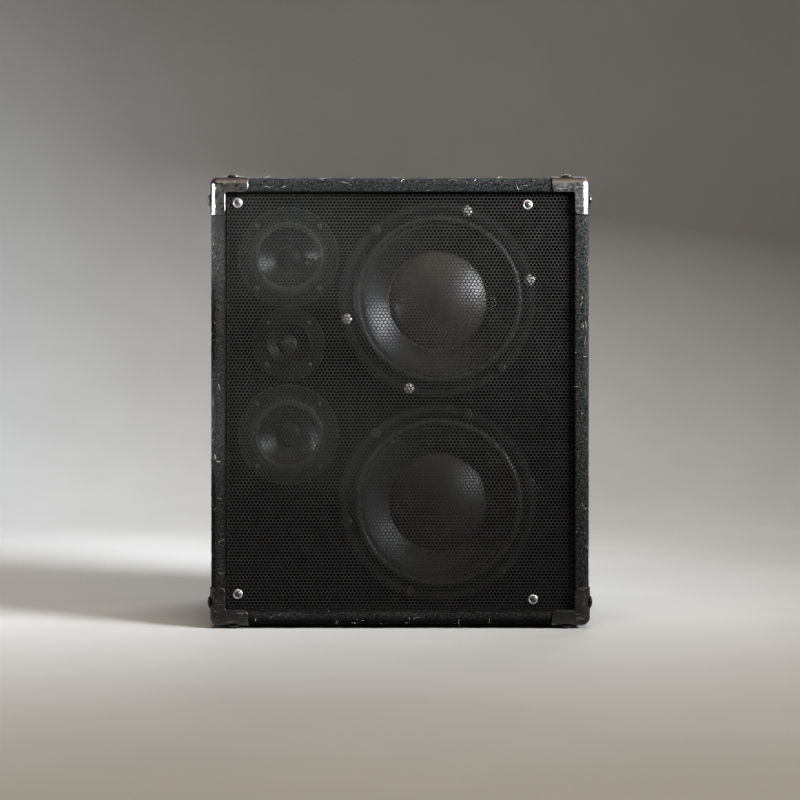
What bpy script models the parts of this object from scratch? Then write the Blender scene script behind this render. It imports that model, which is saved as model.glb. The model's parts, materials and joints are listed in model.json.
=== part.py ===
"""Carpet-covered PA speaker cabinet with two 10 inch woofers, two sealed 5 inch mids and a dome tweeter.

Frame: metres, +Z up, the front faces -Y, and the origin is on the floor under the middle of the cabinet.
Every separate physical piece is one object. Pieces that touch keep a gap of GAP to each other.
"""

import math

import bmesh
import bpy
from mathutils import Matrix, Vector

MM = 0.001
GAP = 0.3 * MM

# Cabinet
WIDTH = 494 * MM
DEPTH = 406 * MM
HEIGHT = 584 * MM
FOOT_HEIGHT = 5 * MM
CARPET = 3 * MM
LIP_CARPET = 2 * MM
PLY = 15 * MM
BAFFLE = 18 * MM
EDGE_RADIUS = 10 * MM
EDGE_SEGMENTS = 3

HALF_W = WIDTH / 2
HALF_D = DEPTH / 2
BOTTOM = FOOT_HEIGHT
TOP = FOOT_HEIGHT + HEIGHT
MIDDLE = (BOTTOM + TOP) / 2
PLY_HALF_W = HALF_W - CARPET
PLY_HALF_D = HALF_D - CARPET
INNER_HALF_W = PLY_HALF_W - PLY
INNER_HALF_H = HEIGHT / 2 - CARPET - PLY
OPENING_HALF_W = INNER_HALF_W - LIP_CARPET
OPENING_HALF_H = INNER_HALF_H - LIP_CARPET

# Planes from front to back
GRILLE_FRONT = -HALF_D + 7 * MM
GRILLE_SHEET = 1.2 * MM
BAFFLE_FRONT = -HALF_D + 27 * MM
BAFFLE_BACK = BAFFLE_FRONT + BAFFLE
BACK_INNER = PLY_HALF_D - PLY

# Grille screws: x and height above the middle of the cabinet
GRILLE_SCREWS = {
    "top_left": (-212.6 * MM, 259 * MM),
    "top_right": (166.5 * MM, 256.5 * MM),
    "bottom_left": (-212 * MM, -252 * MM),
    "bottom_right": (173.5 * MM, -259 * MM),
}
SHANK_RADIUS = 1.9 * MM
SCREW_HOLE = 2.4 * MM
WASHER_RADIUS = 6.5 * MM

# Drivers: x and height above the middle of the cabinet
WOOFERS = {"upper": (50 * MM, 133.5 * MM), "lower": (50 * MM, -133.5 * MM)}
MIDS = {"upper": (-146.8 * MM, 189.5 * MM), "lower": (-146.8 * MM, -44.2 * MM)}
TWEETER = (-147 * MM, 75.5 * MM)
WOOFER_HOLE = 115 * MM
MID_HOLE = 52 * MM
TWEETER_HOLE = 38 * MM
WOOFER_DEPTH = 80 * MM
CAP_RADIUS = 61.5 * MM
CAP_RISE = 19 * MM
WOOFER_SEGMENTS = 30
MID_SEGMENTS = 24
SMALL_SEGMENTS = 20

# Metal corners: a pressed three-leg protector on each corner of the cabinet
CORNER_LEG = 50.8 * MM
CORNER_LEG_WIDTH = 21 * MM
CORNER_SHEET = 1.2 * MM
CORNER_OFFSET = GAP + CORNER_SHEET
CORNER_BOSS_AT = 31 * MM
CORNER_BOSS_IN = 11.5 * MM
CORNER_BOSS_RADIUS = 7 * MM
CORNER_BOSS_HEIGHT = 2.5 * MM
CORNER_BOSS_TAPER = 0.72

# Side handles: a pressed dish with a round grip across it
HANDLE_HEIGHT = MIDDLE + 40 * MM
HANDLE_CUT = (75 * MM, 50 * MM)
HANDLE_FLANGE = (90 * MM, 64 * MM)
HANDLE_DEPTH = 58 * MM
HANDLE_SHEET = 1.2 * MM
HANDLE_CORNER = 14 * MM
GRIP_RADIUS = 9 * MM
GRIP_INSET = 14 * MM
GRIP_RISE = 12 * MM

# Input tray in the back panel
INPUT_HEIGHT = MIDDLE + 40 * MM
INPUT_CUT = (66 * MM, 46 * MM)
INPUT_FLANGE = (82 * MM, 62 * MM)
INPUT_DEPTH = 28 * MM
INPUT_SHEET = 1.2 * MM
INPUT_CORNER = 10 * MM
SPEAKER_SOCKET_X = -36 * MM
JACK_SOCKET_X = 2 * MM
KNOB_X = 38 * MM

# Crossover on the inside of the back panel
CROSSOVER_HEIGHT = MIDDLE - 150 * MM
BOARD_HALF = (65 * MM, 45 * MM)
BOARD = 1.6 * MM
BOARD_STANDOFF = 11 * MM
COIL_RADIUS = 25 * MM

FOOT_RADIUS = 19 * MM
FOOT_INSET = 62 * MM

NOTHING = 1e-7


def material(name, colour, roughness, metallic=0.0):
    made = bpy.data.materials.get(name)
    if made is None:
        made = bpy.data.materials.new(name)
        made.use_nodes = True
        shader = made.node_tree.nodes["Principled BSDF"]
        shader.inputs["Base Color"].default_value = (*colour, 1)
        shader.inputs["Roughness"].default_value = roughness
        shader.inputs["Metallic"].default_value = metallic
    return made


def finishes():
    return {
        "carpet": material("carpet", (0.055, 0.055, 0.06), 0.95),
        "plywood": material("plywood", (0.45, 0.30, 0.17), 0.7),
        "baffle": material("baffle", (0.02, 0.02, 0.02), 0.8),
        "grille": material("grille", (0.02, 0.02, 0.022), 0.45, 0.6),
        "nickel": material("nickel", (0.62, 0.60, 0.57), 0.25, 1.0),
        "rubber": material("rubber", (0.02, 0.02, 0.02), 0.85),
        "basket": material("basket", (0.10, 0.10, 0.095), 0.5, 0.4),
        "ferrite": material("ferrite", (0.07, 0.07, 0.075), 0.6),
        "steel": material("steel", (0.50, 0.50, 0.50), 0.35, 1.0),
        "paper": material("paper", (0.03, 0.03, 0.03), 0.7),
        "cap": material("cap", (0.02, 0.02, 0.02), 0.3),
        "surround": material("surround", (0.025, 0.025, 0.025), 0.55),
        "spider": material("spider", (0.55, 0.40, 0.16), 0.9),
        "plastic": material("plastic", (0.03, 0.03, 0.03), 0.45),
        "dome": material("dome", (0.05, 0.05, 0.055), 0.35, 0.5),
        "black_steel": material("black_steel", (0.03, 0.03, 0.03), 0.4, 0.7),
        "board": material("board", (0.06, 0.16, 0.07), 0.5),
        "copper": material("copper", (0.72, 0.35, 0.16), 0.3, 1.0),
    }


def add_object(name, bm, finish, origin=(0, 0, 0)):
    """Makes an object from bm, with its own origin, and frees bm."""
    bmesh.ops.recalc_face_normals(bm, faces=bm.faces)
    bmesh.ops.translate(bm, verts=bm.verts, vec=-Vector(origin))
    mesh = bpy.data.meshes.new(name)
    bm.to_mesh(mesh)
    bm.free()
    ob = bpy.data.objects.new(name, mesh)
    ob.location = origin
    bpy.context.scene.collection.objects.link(ob)
    if finish is not None:
        mesh.materials.append(finish)
    return ob


def round_off(ob, angle=40):
    """Shades a round piece smooth, with its true edges kept sharp."""
    ob.data.shade_smooth()
    ob.data.set_sharp_from_angle(angle=math.radians(angle))
    return ob


def box(lo, hi):
    bm = bmesh.new()
    bmesh.ops.create_cube(bm, size=1)
    size = Vector(hi) - Vector(lo)
    middle = (Vector(hi) + Vector(lo)) / 2
    for v in bm.verts:
        v.co = Vector(a * b for a, b in zip(v.co, size)) + middle
    return bm


def rounded_box(lo, hi, radius, segments=EDGE_SEGMENTS):
    bm = box(lo, hi)
    bmesh.ops.bevel(
        bm, geom=bm.edges[:], offset=radius, segments=segments, profile=0.5, affect="EDGES"
    )
    return bm


def keep_side(bm, point, normal):
    """Cuts bm along a plane, keeps the side that normal points to, and closes the cut."""
    cut = bmesh.ops.bisect_plane(
        bm,
        geom=bm.verts[:] + bm.edges[:] + bm.faces[:],
        plane_co=point,
        plane_no=normal,
        clear_inner=True,
    )
    rim = [e for e in cut["geom_cut"] if isinstance(e, bmesh.types.BMEdge)]
    bmesh.ops.edgeloop_fill(bm, edges=rim)
    return bm


def outline_prism(outline, axis, lo, hi):
    """Extrudes a flat outline along an axis. The outline's two numbers are the other two axes in order."""
    bm = bmesh.new()
    places = [i for i in range(3) if i != axis]
    rings = []
    for depth in (lo, hi):
        ring = []
        for a, b in outline:
            at = [0.0, 0.0, 0.0]
            at[axis] = depth
            at[places[0]] = a
            at[places[1]] = b
            ring.append(bm.verts.new(at))
        rings.append(ring)
    bm.faces.new(rings[0])
    bm.faces.new(rings[1])
    count = len(outline)
    for i in range(count):
        j = (i + 1) % count
        bm.faces.new((rings[0][i], rings[0][j], rings[1][j], rings[1][i]))
    return bm


def rounded_rectangle(centre, half, radius, segments=3):
    points = []
    for quarter, (sx, sz) in enumerate(((1, 1), (-1, 1), (-1, -1), (1, -1))):
        cx = centre[0] + sx * (half[0] - radius)
        cz = centre[1] + sz * (half[1] - radius)
        for step in range(segments + 1):
            turn = math.pi / 2 * (quarter + step / segments)
            points.append((cx + radius * math.cos(turn), cz + radius * math.sin(turn)))
    return points


def circle(centre, radius, segments=SMALL_SEGMENTS):
    turns = (2 * math.pi * i / segments for i in range(segments))
    return [(centre[0] + radius * math.cos(t), centre[1] + radius * math.sin(t)) for t in turns]


def turned(profile, centre, segments):
    """Turns a closed profile of (radius, y) points about the line along Y through centre, an (x, z) pair."""
    bm = bmesh.new()
    rings = []
    for radius, depth in profile:
        if radius < NOTHING:
            rings.append([bm.verts.new((centre[0], depth, centre[1]))] * segments)
            continue
        ring = []
        for x, z in circle(centre, radius, segments):
            ring.append(bm.verts.new((x, depth, z)))
        rings.append(ring)
    for k, ring in enumerate(rings):
        after = rings[(k + 1) % len(rings)]
        if profile[k][0] < NOTHING and profile[(k + 1) % len(rings)][0] < NOTHING:
            continue
        for i in range(segments):
            j = (i + 1) % segments
            corners = []
            for v in (ring[i], ring[j], after[j], after[i]):
                if v not in corners:
                    corners.append(v)
            bm.faces.new(corners)
    return bm


def apply_tool(ob, name, bm, operation="DIFFERENCE"):
    """Adds a Boolean to ob with a hidden helper made from bm."""
    helper = add_object(name, bm, None)
    helper.hide_render = True
    helper.display_type = "WIRE"
    change = ob.modifiers.new(name, "BOOLEAN")
    change.operation = operation
    change.object = helper
    return ob


def at_height(place):
    """Turns an (x, height above the middle) pair into an (x, z) pair."""
    return place[0], MIDDLE + place[1]


def roll(inner, outer, base, rise, thickness, points):
    """A half roll between two radii: the outer line there, the inner line back, bulging towards -Y."""
    middle = (inner + outer) / 2
    reach = (outer - inner) / 2
    turns = [math.pi * i / (points - 1) for i in range(points)]
    front = [(middle - reach * math.cos(t), base - rise * math.sin(t)) for t in turns]
    back = []
    for t in reversed(turns):
        shrink = 1 - thickness / reach * math.sin(t)
        back.append((middle - reach * shrink * math.cos(t), base + thickness - rise * math.sin(t)))
    return front + back


# ---------------------------------------------------------------- wooden case and carpet


def plywood_box():
    return rounded_box(
        (-PLY_HALF_W, -PLY_HALF_D, BOTTOM + CARPET),
        (PLY_HALF_W, PLY_HALF_D, TOP - CARPET),
        EDGE_RADIUS - CARPET,
    )


def make_case(finish):
    floor = BOTTOM + CARPET + PLY
    ceiling = TOP - CARPET - PLY
    top = keep_side(plywood_box(), (0, 0, ceiling), (0, 0, 1))
    add_object("top_panel", top, finish["plywood"])
    bottom = keep_side(plywood_box(), (0, 0, floor), (0, 0, -1))
    add_object("bottom_panel", bottom, finish["plywood"])
    for side, name in ((-1, "left"), (1, "right")):
        panel = keep_side(plywood_box(), (side * INNER_HALF_W, 0, 0), (side, 0, 0))
        keep_side(panel, (0, 0, floor + GAP), (0, 0, 1))
        keep_side(panel, (0, 0, ceiling - GAP), (0, 0, -1))
        ob = add_object(f"{name}_panel", panel, finish["plywood"])
        cut = rounded_rectangle((0, HANDLE_HEIGHT), HANDLE_CUT, HANDLE_CORNER)
        cutter = outline_prism(cut, 0, side * (INNER_HALF_W - PLY), side * (HALF_W + PLY))
        apply_tool(ob, f"{name}_panel_cut", cutter)


def make_back_panel(finish):
    half_w = INNER_HALF_W - GAP
    floor = BOTTOM + CARPET + PLY + GAP
    ceiling = TOP - CARPET - PLY - GAP
    panel = box((-half_w, BACK_INNER, floor), (half_w, PLY_HALF_D, ceiling))
    ob = add_object("back_panel", panel, finish["plywood"])
    cut = rounded_rectangle((0, INPUT_HEIGHT), INPUT_CUT, INPUT_CORNER)
    apply_tool(ob, "back_panel_cut", outline_prism(cut, 1, BACK_INNER - PLY, HALF_D + PLY))
    sheet = box((-half_w, PLY_HALF_D + GAP, floor), (half_w, HALF_D, ceiling))
    carpet = add_object("back_carpet", sheet, finish["carpet"])
    apply_tool(carpet, "back_carpet_cut", outline_prism(cut, 1, BACK_INNER, HALF_D + PLY))


def make_baffle(finish):
    half_w = INNER_HALF_W - GAP
    floor = BOTTOM + CARPET + PLY + GAP
    ceiling = TOP - CARPET - PLY - GAP
    ob = add_object(
        "front_baffle",
        box((-half_w, BAFFLE_FRONT, floor), (half_w, BAFFLE_BACK, ceiling)),
        finish["baffle"],
    )
    holes = []
    for name, place in WOOFERS.items():
        holes.append((f"{name}_woofer", place, WOOFER_HOLE, WOOFER_SEGMENTS))
    for name, place in MIDS.items():
        holes.append((f"{name}_mid", place, MID_HOLE, MID_SEGMENTS))
    holes.append(("tweeter", TWEETER, TWEETER_HOLE, SMALL_SEGMENTS))
    for name, place in GRILLE_SCREWS.items():
        holes.append((f"{name}_screw", place, SCREW_HOLE, 8))
    for name, place, radius, segments in holes:
        outline = circle(at_height(place), radius, segments)
        cutter = outline_prism(outline, 1, BAFFLE_FRONT - PLY, BAFFLE_BACK + PLY)
        apply_tool(ob, f"{name}_hole", cutter)


def make_carpet(finish):
    """One skin round the four sides, wrapped over the front edge to the baffle and over the rear edge."""
    skin = rounded_box((-HALF_W, -HALF_D, BOTTOM), (HALF_W, HALF_D, TOP), EDGE_RADIUS)
    ob = add_object("carpet_wrap", skin, finish["carpet"])
    room = CARPET - GAP
    inside = rounded_box(
        (-HALF_W + room, -HALF_D + room, BOTTOM + room),
        (HALF_W - room, HALF_D - room, TOP - room),
        EDGE_RADIUS - room,
    )
    apply_tool(ob, "carpet_hollow", inside)
    lip_half = (INNER_HALF_W - GAP, INNER_HALF_H - GAP)
    lip = box(
        (-lip_half[0], -HALF_D + CARPET / 2, MIDDLE - lip_half[1]),
        (lip_half[0], BAFFLE_FRONT - GAP, MIDDLE + lip_half[1]),
    )
    apply_tool(ob, "carpet_lip", lip, "UNION")
    opening = box(
        (-OPENING_HALF_W, -HALF_D - PLY, MIDDLE - OPENING_HALF_H),
        (OPENING_HALF_W, 0, MIDDLE + OPENING_HALF_H),
    )
    apply_tool(ob, "carpet_front_opening", opening)
    rear = box(
        (-INNER_HALF_W, 0, MIDDLE - INNER_HALF_H),
        (INNER_HALF_W, HALF_D + PLY, MIDDLE + INNER_HALF_H),
    )
    apply_tool(ob, "carpet_rear_opening", rear)
    outline = rounded_rectangle((0, HANDLE_HEIGHT), HANDLE_CUT, HANDLE_CORNER)
    through = outline_prism(outline, 0, -HALF_W - PLY, HALF_W + PLY)
    apply_tool(ob, "carpet_handle_cut", through)


# ---------------------------------------------------------------- metal corners and feet


def corner_shape():
    """The protector for the corner at the lowest x, y and z, with its outer vertex at the origin."""
    reach = CORNER_LEG + 2 * EDGE_RADIUS
    outer_radius = EDGE_RADIUS + CORNER_OFFSET
    shell = add_object("corner_shape", rounded_box((0, 0, 0), (reach,) * 3, outer_radius), None)
    for axis in (0, 2):
        along = 2 - axis
        centre = Vector((0, CORNER_BOSS_IN, 0))
        centre[along] = CORNER_BOSS_AT
        spot = (centre.y, centre.z) if axis == 0 else (centre.x, centre.y)
        base = circle(spot, CORNER_BOSS_RADIUS, 12)
        boss = outline_prism(base, axis, -CORNER_BOSS_HEIGHT, CORNER_SHEET / 2)
        tip = [v for v in boss.verts if v.co[axis] < 0]
        for v in tip:
            v.co = centre + (v.co - centre) * CORNER_BOSS_TAPER
            v.co[axis] = -CORNER_BOSS_HEIGHT
        apply_tool(shell, f"corner_boss_{axis}", boss, "UNION")
    inner = rounded_box((CORNER_SHEET,) * 3, (2 * reach,) * 3, outer_radius - CORNER_SHEET)
    apply_tool(shell, "corner_hollow", inner)
    for axis in range(3):
        lo = [CORNER_LEG_WIDTH] * 3
        lo[axis] = -2 * CORNER_SHEET
        hi = [2 * reach] * 3
        hi[axis] = EDGE_RADIUS / 2
        apply_tool(shell, f"corner_notch_{axis}", box(lo, hi))
        lo = [-reach] * 3
        lo[axis] = CORNER_LEG
        apply_tool(shell, f"corner_end_{axis}", box(lo, (3 * reach,) * 3))
    shell.hide_render = True
    shell.display_type = "WIRE"
    seen = shell.evaluated_get(bpy.context.evaluated_depsgraph_get())
    return bpy.data.meshes.new_from_object(seen)


def make_corners(finish):
    shape = corner_shape()
    sides = (("left", -1), ("right", 1))
    ends = (("front", -1), ("rear", 1))
    levels = (("bottom", -1), ("top", 1))
    places = [(a, b, c) for a in ends for b in levels for c in sides]
    for (end, sy), (level, sz), (side, sx) in places:
        bm = bmesh.new()
        bm.from_mesh(shape)
        bmesh.ops.transform(bm, matrix=Matrix.Diagonal((-sx, -sy, -sz, 1)), verts=bm.verts)
        vertex = Vector(
            (
                sx * (HALF_W + CORNER_OFFSET),
                sy * (HALF_D + CORNER_OFFSET),
                MIDDLE + sz * (HEIGHT / 2 + CORNER_OFFSET),
            )
        )
        bmesh.ops.translate(bm, verts=bm.verts, vec=vertex)
        ob = add_object(f"corner_{end}_{level}_{side}", bm, finish["nickel"])
        round_off(ob, 50)


def make_feet(finish):
    height = BOTTOM - GAP
    profile = [(0, 0), (0.86, 0), (1, 0.3), (1, 1), (0, 1)]
    for end, sy in (("front", -1), ("rear", 1)):
        for side, sx in (("left", -1), ("right", 1)):
            x = sx * (HALF_W - FOOT_INSET)
            y = sy * (HALF_D - FOOT_INSET)
            points = [(FOOT_RADIUS * r, height * h) for r, h in profile]
            bm = turned(points, (0, 0), 20)
            stand = Matrix.Rotation(math.pi / 2, 4, "X")
            bmesh.ops.transform(bm, matrix=Matrix.Translation((x, y, 0)) @ stand, verts=bm.verts)
            round_off(add_object(f"foot_{end}_{side}", bm, finish["rubber"]))


# ---------------------------------------------------------------- grille


def make_grille(finish):
    half_w = OPENING_HALF_W - 2 * GAP
    half_h = OPENING_HALF_H - 2 * GAP
    tray = box(
        (-half_w, GRILLE_FRONT, MIDDLE - half_h),
        (half_w, BAFFLE_FRONT - GAP, MIDDLE + half_h),
    )
    ob = add_object("grille", tray, finish["grille"])
    hollow = box(
        (-half_w + GRILLE_SHEET, GRILLE_FRONT + GRILLE_SHEET, MIDDLE - half_h + GRILLE_SHEET),
        (half_w - GRILLE_SHEET, 0, MIDDLE + half_h - GRILLE_SHEET),
    )
    apply_tool(ob, "grille_hollow", hollow)
    for name, place in GRILLE_SCREWS.items():
        hole = circle(at_height(place), SCREW_HOLE, 8)
        cutter = outline_prism(hole, 1, GRILLE_FRONT - PLY, GRILLE_FRONT + PLY)
        apply_tool(ob, f"grille_{name}_hole", cutter)


def make_grille_screws(finish):
    """Each is a wood screw in its cup washer. The long shank reaches through the grille into the baffle."""
    seat = GRILLE_FRONT - GAP
    profile = [
        (0, seat - 0.6 * MM),
        (1.6 * MM, seat - 2 * MM),
        (4.4 * MM, seat - 2.6 * MM),
        (WASHER_RADIUS, seat - 0.8 * MM),
        (WASHER_RADIUS, seat),
        (SHANK_RADIUS, seat),
        (SHANK_RADIUS, BAFFLE_BACK - 2 * MM),
        (0, BAFFLE_BACK - 2 * MM),
    ]
    for name, place in GRILLE_SCREWS.items():
        bm = turned(profile, at_height(place), 12)
        round_off(add_object(f"grille_screw_{name}", bm, finish["nickel"]))


# ---------------------------------------------------------------- woofers


def window_star(centre, reach, arm, count, lo, hi):
    """A prism shaped like a star of straight arms, which cuts the windows of a basket."""
    points = []
    notch = arm / 2 / math.sin(math.pi / count)
    for i in range(count):
        turn = 2 * math.pi * i / count
        for side in (-1, 1):
            x = reach * math.cos(turn) - side * arm / 2 * math.sin(turn)
            z = reach * math.sin(turn) + side * arm / 2 * math.cos(turn)
            points.append((centre[0] + x, centre[1] + z))
        between = turn + math.pi / count
        points.append((centre[0] + notch * math.cos(between), centre[1] + notch * math.sin(between)))
    return outline_prism(points, 1, lo, hi)


def woofer_basket(name, centre, finish):
    """The basket with its flange, spider ledge and the steel plate riveted to its back."""
    front = BAFFLE_FRONT
    profile = [
        (112 * MM, front - 6 * MM),
        (129.5 * MM, front - 6 * MM),
        (129.5 * MM, front - GAP),
        (114 * MM, front - GAP),
        (114 * MM, front + 18 * MM),
        (76 * MM, front + 61 * MM),
        (68 * MM, front + WOOFER_DEPTH),
        (28.5 * MM, front + WOOFER_DEPTH),
        (28.5 * MM, front + 72 * MM),
        (60 * MM, front + 72 * MM),
        (60 * MM, front + 60 * MM),
        (73 * MM, front + 59.5 * MM),
        (112 * MM, front + 15.5 * MM),
    ]
    ob = add_object(name, turned(profile, centre, WOOFER_SEGMENTS), finish["basket"])
    star = window_star(centre, 140 * MM, 44 * MM, 8, front + 22 * MM, front + 54 * MM)
    apply_tool(ob, f"{name}_windows", star)
    round_off(ob)


def woofer_motor(prefix, centre, finish):
    front = BAFFLE_FRONT + WOOFER_DEPTH + GAP
    back = front + 20 * MM
    magnet = [(32 * MM, front), (70 * MM, front), (70 * MM, back), (32 * MM, back)]
    bm = turned(magnet, centre, WOOFER_SEGMENTS)
    round_off(add_object(f"{prefix}_magnet", bm, finish["ferrite"]))
    plate = back + GAP
    pole = BAFFLE_FRONT + 72 * MM
    yoke = [
        (8 * MM, pole),
        (24 * MM, pole),
        (24 * MM, plate),
        (62 * MM, plate),
        (62 * MM, plate + 8 * MM),
        (8 * MM, plate + 8 * MM),
    ]
    bm = turned(yoke, centre, SMALL_SEGMENTS)
    round_off(add_object(f"{prefix}_yoke", bm, finish["steel"]))


def woofer_cone(prefix, centre, finish):
    """The moving pieces: the paper cone with its voice coil former, and the dust cap glued to it."""
    front = BAFFLE_FRONT
    origin = (centre[0], front, centre[1])
    cone = [
        (99.5 * MM, front - 5 * MM),
        (61 * MM, front + 23.5 * MM),
        (26 * MM, front + 44 * MM),
        (26 * MM, front + 84 * MM),
        (26.8 * MM, front + 84 * MM),
        (26.8 * MM, front + 45.6 * MM),
        (61.6 * MM, front + 24.7 * MM),
        (99.5 * MM, front - 3.8 * MM),
    ]
    bm = turned(cone, centre, WOOFER_SEGMENTS)
    round_off(add_object(f"{prefix}_cone", bm, finish["paper"], origin))
    cap_edge = front + 22.4 * MM
    turns = [math.pi / 2 * i / 4 for i in range(5)]
    cap = [(CAP_RADIUS * math.sin(t), cap_edge - CAP_RISE * math.cos(t)) for t in turns]
    for t in reversed(turns):
        inside = (CAP_RADIUS - MM) * math.sin(t)
        cap.append((inside, cap_edge + 0.2 * MM - (CAP_RISE - 0.8 * MM) * math.cos(t)))
    bm = turned(cap, centre, WOOFER_SEGMENTS)
    round_off(add_object(f"{prefix}_dust_cap", bm, finish["cap"], origin))


def woofer_suspension(prefix, centre, finish):
    front = BAFFLE_FRONT
    ring = roll(100 * MM, 111.5 * MM, front - 5 * MM, 6 * MM, 0.9 * MM, 5)
    bm = turned(ring, centre, WOOFER_SEGMENTS)
    round_off(add_object(f"{prefix}_surround", bm, finish["surround"]))
    inner = 27.3 * MM
    outer = 72 * MM
    level = front + 57 * MM
    waves = [0, 1, -1, 1, 0]
    wave_line = []
    for i, wave in enumerate(waves):
        wave_line.append((inner + (outer - inner) * i / (len(waves) - 1), level + 1.5 * MM * wave))
    spider = wave_line + [(r, y + 0.7 * MM) for r, y in reversed(wave_line)]
    bm = turned(spider, centre, SMALL_SEGMENTS)
    round_off(add_object(f"{prefix}_spider", bm, finish["spider"]))


def make_woofer(level, place, finish):
    centre = at_height(place)
    prefix = f"woofer_{level}"
    woofer_basket(f"{prefix}_basket", centre, finish)
    woofer_motor(prefix, centre, finish)
    woofer_cone(prefix, centre, finish)
    woofer_suspension(prefix, centre, finish)


# ---------------------------------------------------------------- mids and tweeter


def make_mid(level, place, finish):
    """A sealed-back 5 inch mid: its frame is a closed can, so the woofers' air can't push its cone."""
    centre = at_height(place)
    front = BAFFLE_FRONT
    can = [
        (46.5 * MM, front - 3.8 * MM),
        (65.5 * MM, front - 3.8 * MM),
        (65.5 * MM, front - GAP),
        (51 * MM, front - GAP),
        (51 * MM, front + 46 * MM),
        (0, front + 46 * MM),
        (0, front + 44 * MM),
        (49.5 * MM, front + 44 * MM),
        (49.5 * MM, front - 1.5 * MM),
        (46.5 * MM, front - 1.5 * MM),
    ]
    bm = turned(can, centre, MID_SEGMENTS)
    round_off(add_object(f"mid_{level}_frame", bm, finish["basket"]))
    motor_back = front + 44 * MM - GAP
    motor = [
        (0, front + 20 * MM),
        (11.2 * MM, front + 20 * MM),
        (11.2 * MM, front + 38 * MM),
        (14.2 * MM, front + 38 * MM),
        (14.2 * MM, front + 22 * MM),
        (36 * MM, front + 22 * MM),
        (36 * MM, motor_back),
        (0, motor_back),
    ]
    bm = turned(motor, centre, SMALL_SEGMENTS)
    round_off(add_object(f"mid_{level}_magnet", bm, finish["ferrite"]))
    cone = [
        (0, front + 4.5 * MM),
        (9 * MM, front + 5.6 * MM),
        (15.8 * MM, front + 10.4 * MM),
        (28 * MM, front + 5.4 * MM),
        (40 * MM, front - 2.5 * MM),
        (40 * MM, front - 1.3 * MM),
        (28 * MM, front + 6.6 * MM),
        (12.8 * MM, front + 13.4 * MM),
        (12.8 * MM, front + 26 * MM),
        (12 * MM, front + 26 * MM),
        (12 * MM, front + 11.6 * MM),
        (7 * MM, front + 6.6 * MM),
        (0, front + 5.5 * MM),
    ]
    origin = (centre[0], front, centre[1])
    bm = turned(cone, centre, MID_SEGMENTS)
    round_off(add_object(f"mid_{level}_cone", bm, finish["cap"], origin))
    ring = roll(40.4 * MM, 46.1 * MM, front - 2.5 * MM, 2.6 * MM, 0.6 * MM, 4)
    bm = turned(ring, centre, MID_SEGMENTS)
    round_off(add_object(f"mid_{level}_surround", bm, finish["surround"]))


def make_tweeter(finish):
    centre = at_height(TWEETER)
    front = BAFFLE_FRONT
    plate = [
        (47.5 * MM, front - 4.3 * MM),
        (47.5 * MM, front - GAP),
        (37 * MM, front - GAP),
        (37 * MM, front + 8 * MM),
        (14.5 * MM, front + 8 * MM),
        (14.5 * MM, front + 2.5 * MM),
        (20 * MM, front - 0.5 * MM),
        (28 * MM, front - 4.3 * MM),
    ]
    bm = turned(plate, centre, MID_SEGMENTS)
    round_off(add_object("tweeter_faceplate", bm, finish["plastic"]))
    motor_front = front + 8 * MM + GAP
    motor = [
        (0, motor_front),
        (11.6 * MM, motor_front),
        (11.6 * MM, front + 18 * MM),
        (13.8 * MM, front + 18 * MM),
        (13.8 * MM, motor_front),
        (36 * MM, motor_front),
        (36 * MM, front + 31 * MM),
        (0, front + 31 * MM),
    ]
    bm = turned(motor, centre, SMALL_SEGMENTS)
    round_off(add_object("tweeter_magnet", bm, finish["ferrite"]))
    dome = [
        (0, front + 0.5 * MM),
        (5 * MM, front + 1 * MM),
        (9.5 * MM, front + 2.8 * MM),
        (13 * MM, front + 6 * MM),
        (13 * MM, front + 13 * MM),
        (12.4 * MM, front + 13 * MM),
        (12.4 * MM, front + 6.3 * MM),
        (9.2 * MM, front + 3.5 * MM),
        (4.9 * MM, front + 1.7 * MM),
        (0, front + 1.2 * MM),
    ]
    origin = (centre[0], front, centre[1])
    bm = turned(dome, centre, SMALL_SEGMENTS)
    round_off(add_object("tweeter_dome", bm, finish["dome"], origin))


# ---------------------------------------------------------------- handles and input tray


def make_handle(side, name, finish):
    """A pressed dish let into one side, with a round grip across its upper half."""
    outer = HALF_W + GAP + HANDLE_SHEET
    floor = outer - HANDLE_DEPTH
    middle = (0, HANDLE_HEIGHT)
    flange = rounded_rectangle(middle, HANDLE_FLANGE, HANDLE_CORNER)
    ends = sorted((side * (HALF_W + GAP), side * outer))
    ob = add_object(f"handle_{name}_dish", outline_prism(flange, 0, *ends), finish["black_steel"])
    wall_half = [h - 2 * GAP for h in HANDLE_CUT]
    wall = rounded_rectangle(middle, wall_half, HANDLE_CORNER - 2 * GAP)
    ends = sorted((side * floor, side * (outer - HANDLE_SHEET / 2)))
    apply_tool(ob, f"handle_{name}_walls", outline_prism(wall, 0, *ends), "UNION")
    room_half = [h - HANDLE_SHEET for h in wall_half]
    room = rounded_rectangle(middle, room_half, HANDLE_CORNER - 2 * GAP - HANDLE_SHEET)
    ends = sorted((side * (floor + HANDLE_SHEET), side * (outer + PLY)))
    apply_tool(ob, f"handle_{name}_room", outline_prism(room, 0, *ends))
    reach = room_half[0] - GAP
    centre = (side * (outer - GRIP_INSET), HANDLE_HEIGHT + GRIP_RISE)
    grip = outline_prism(circle(centre, GRIP_RADIUS, 16), 1, -reach, reach)
    round_off(add_object(f"handle_{name}_grip", grip, finish["rubber"]))


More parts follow.
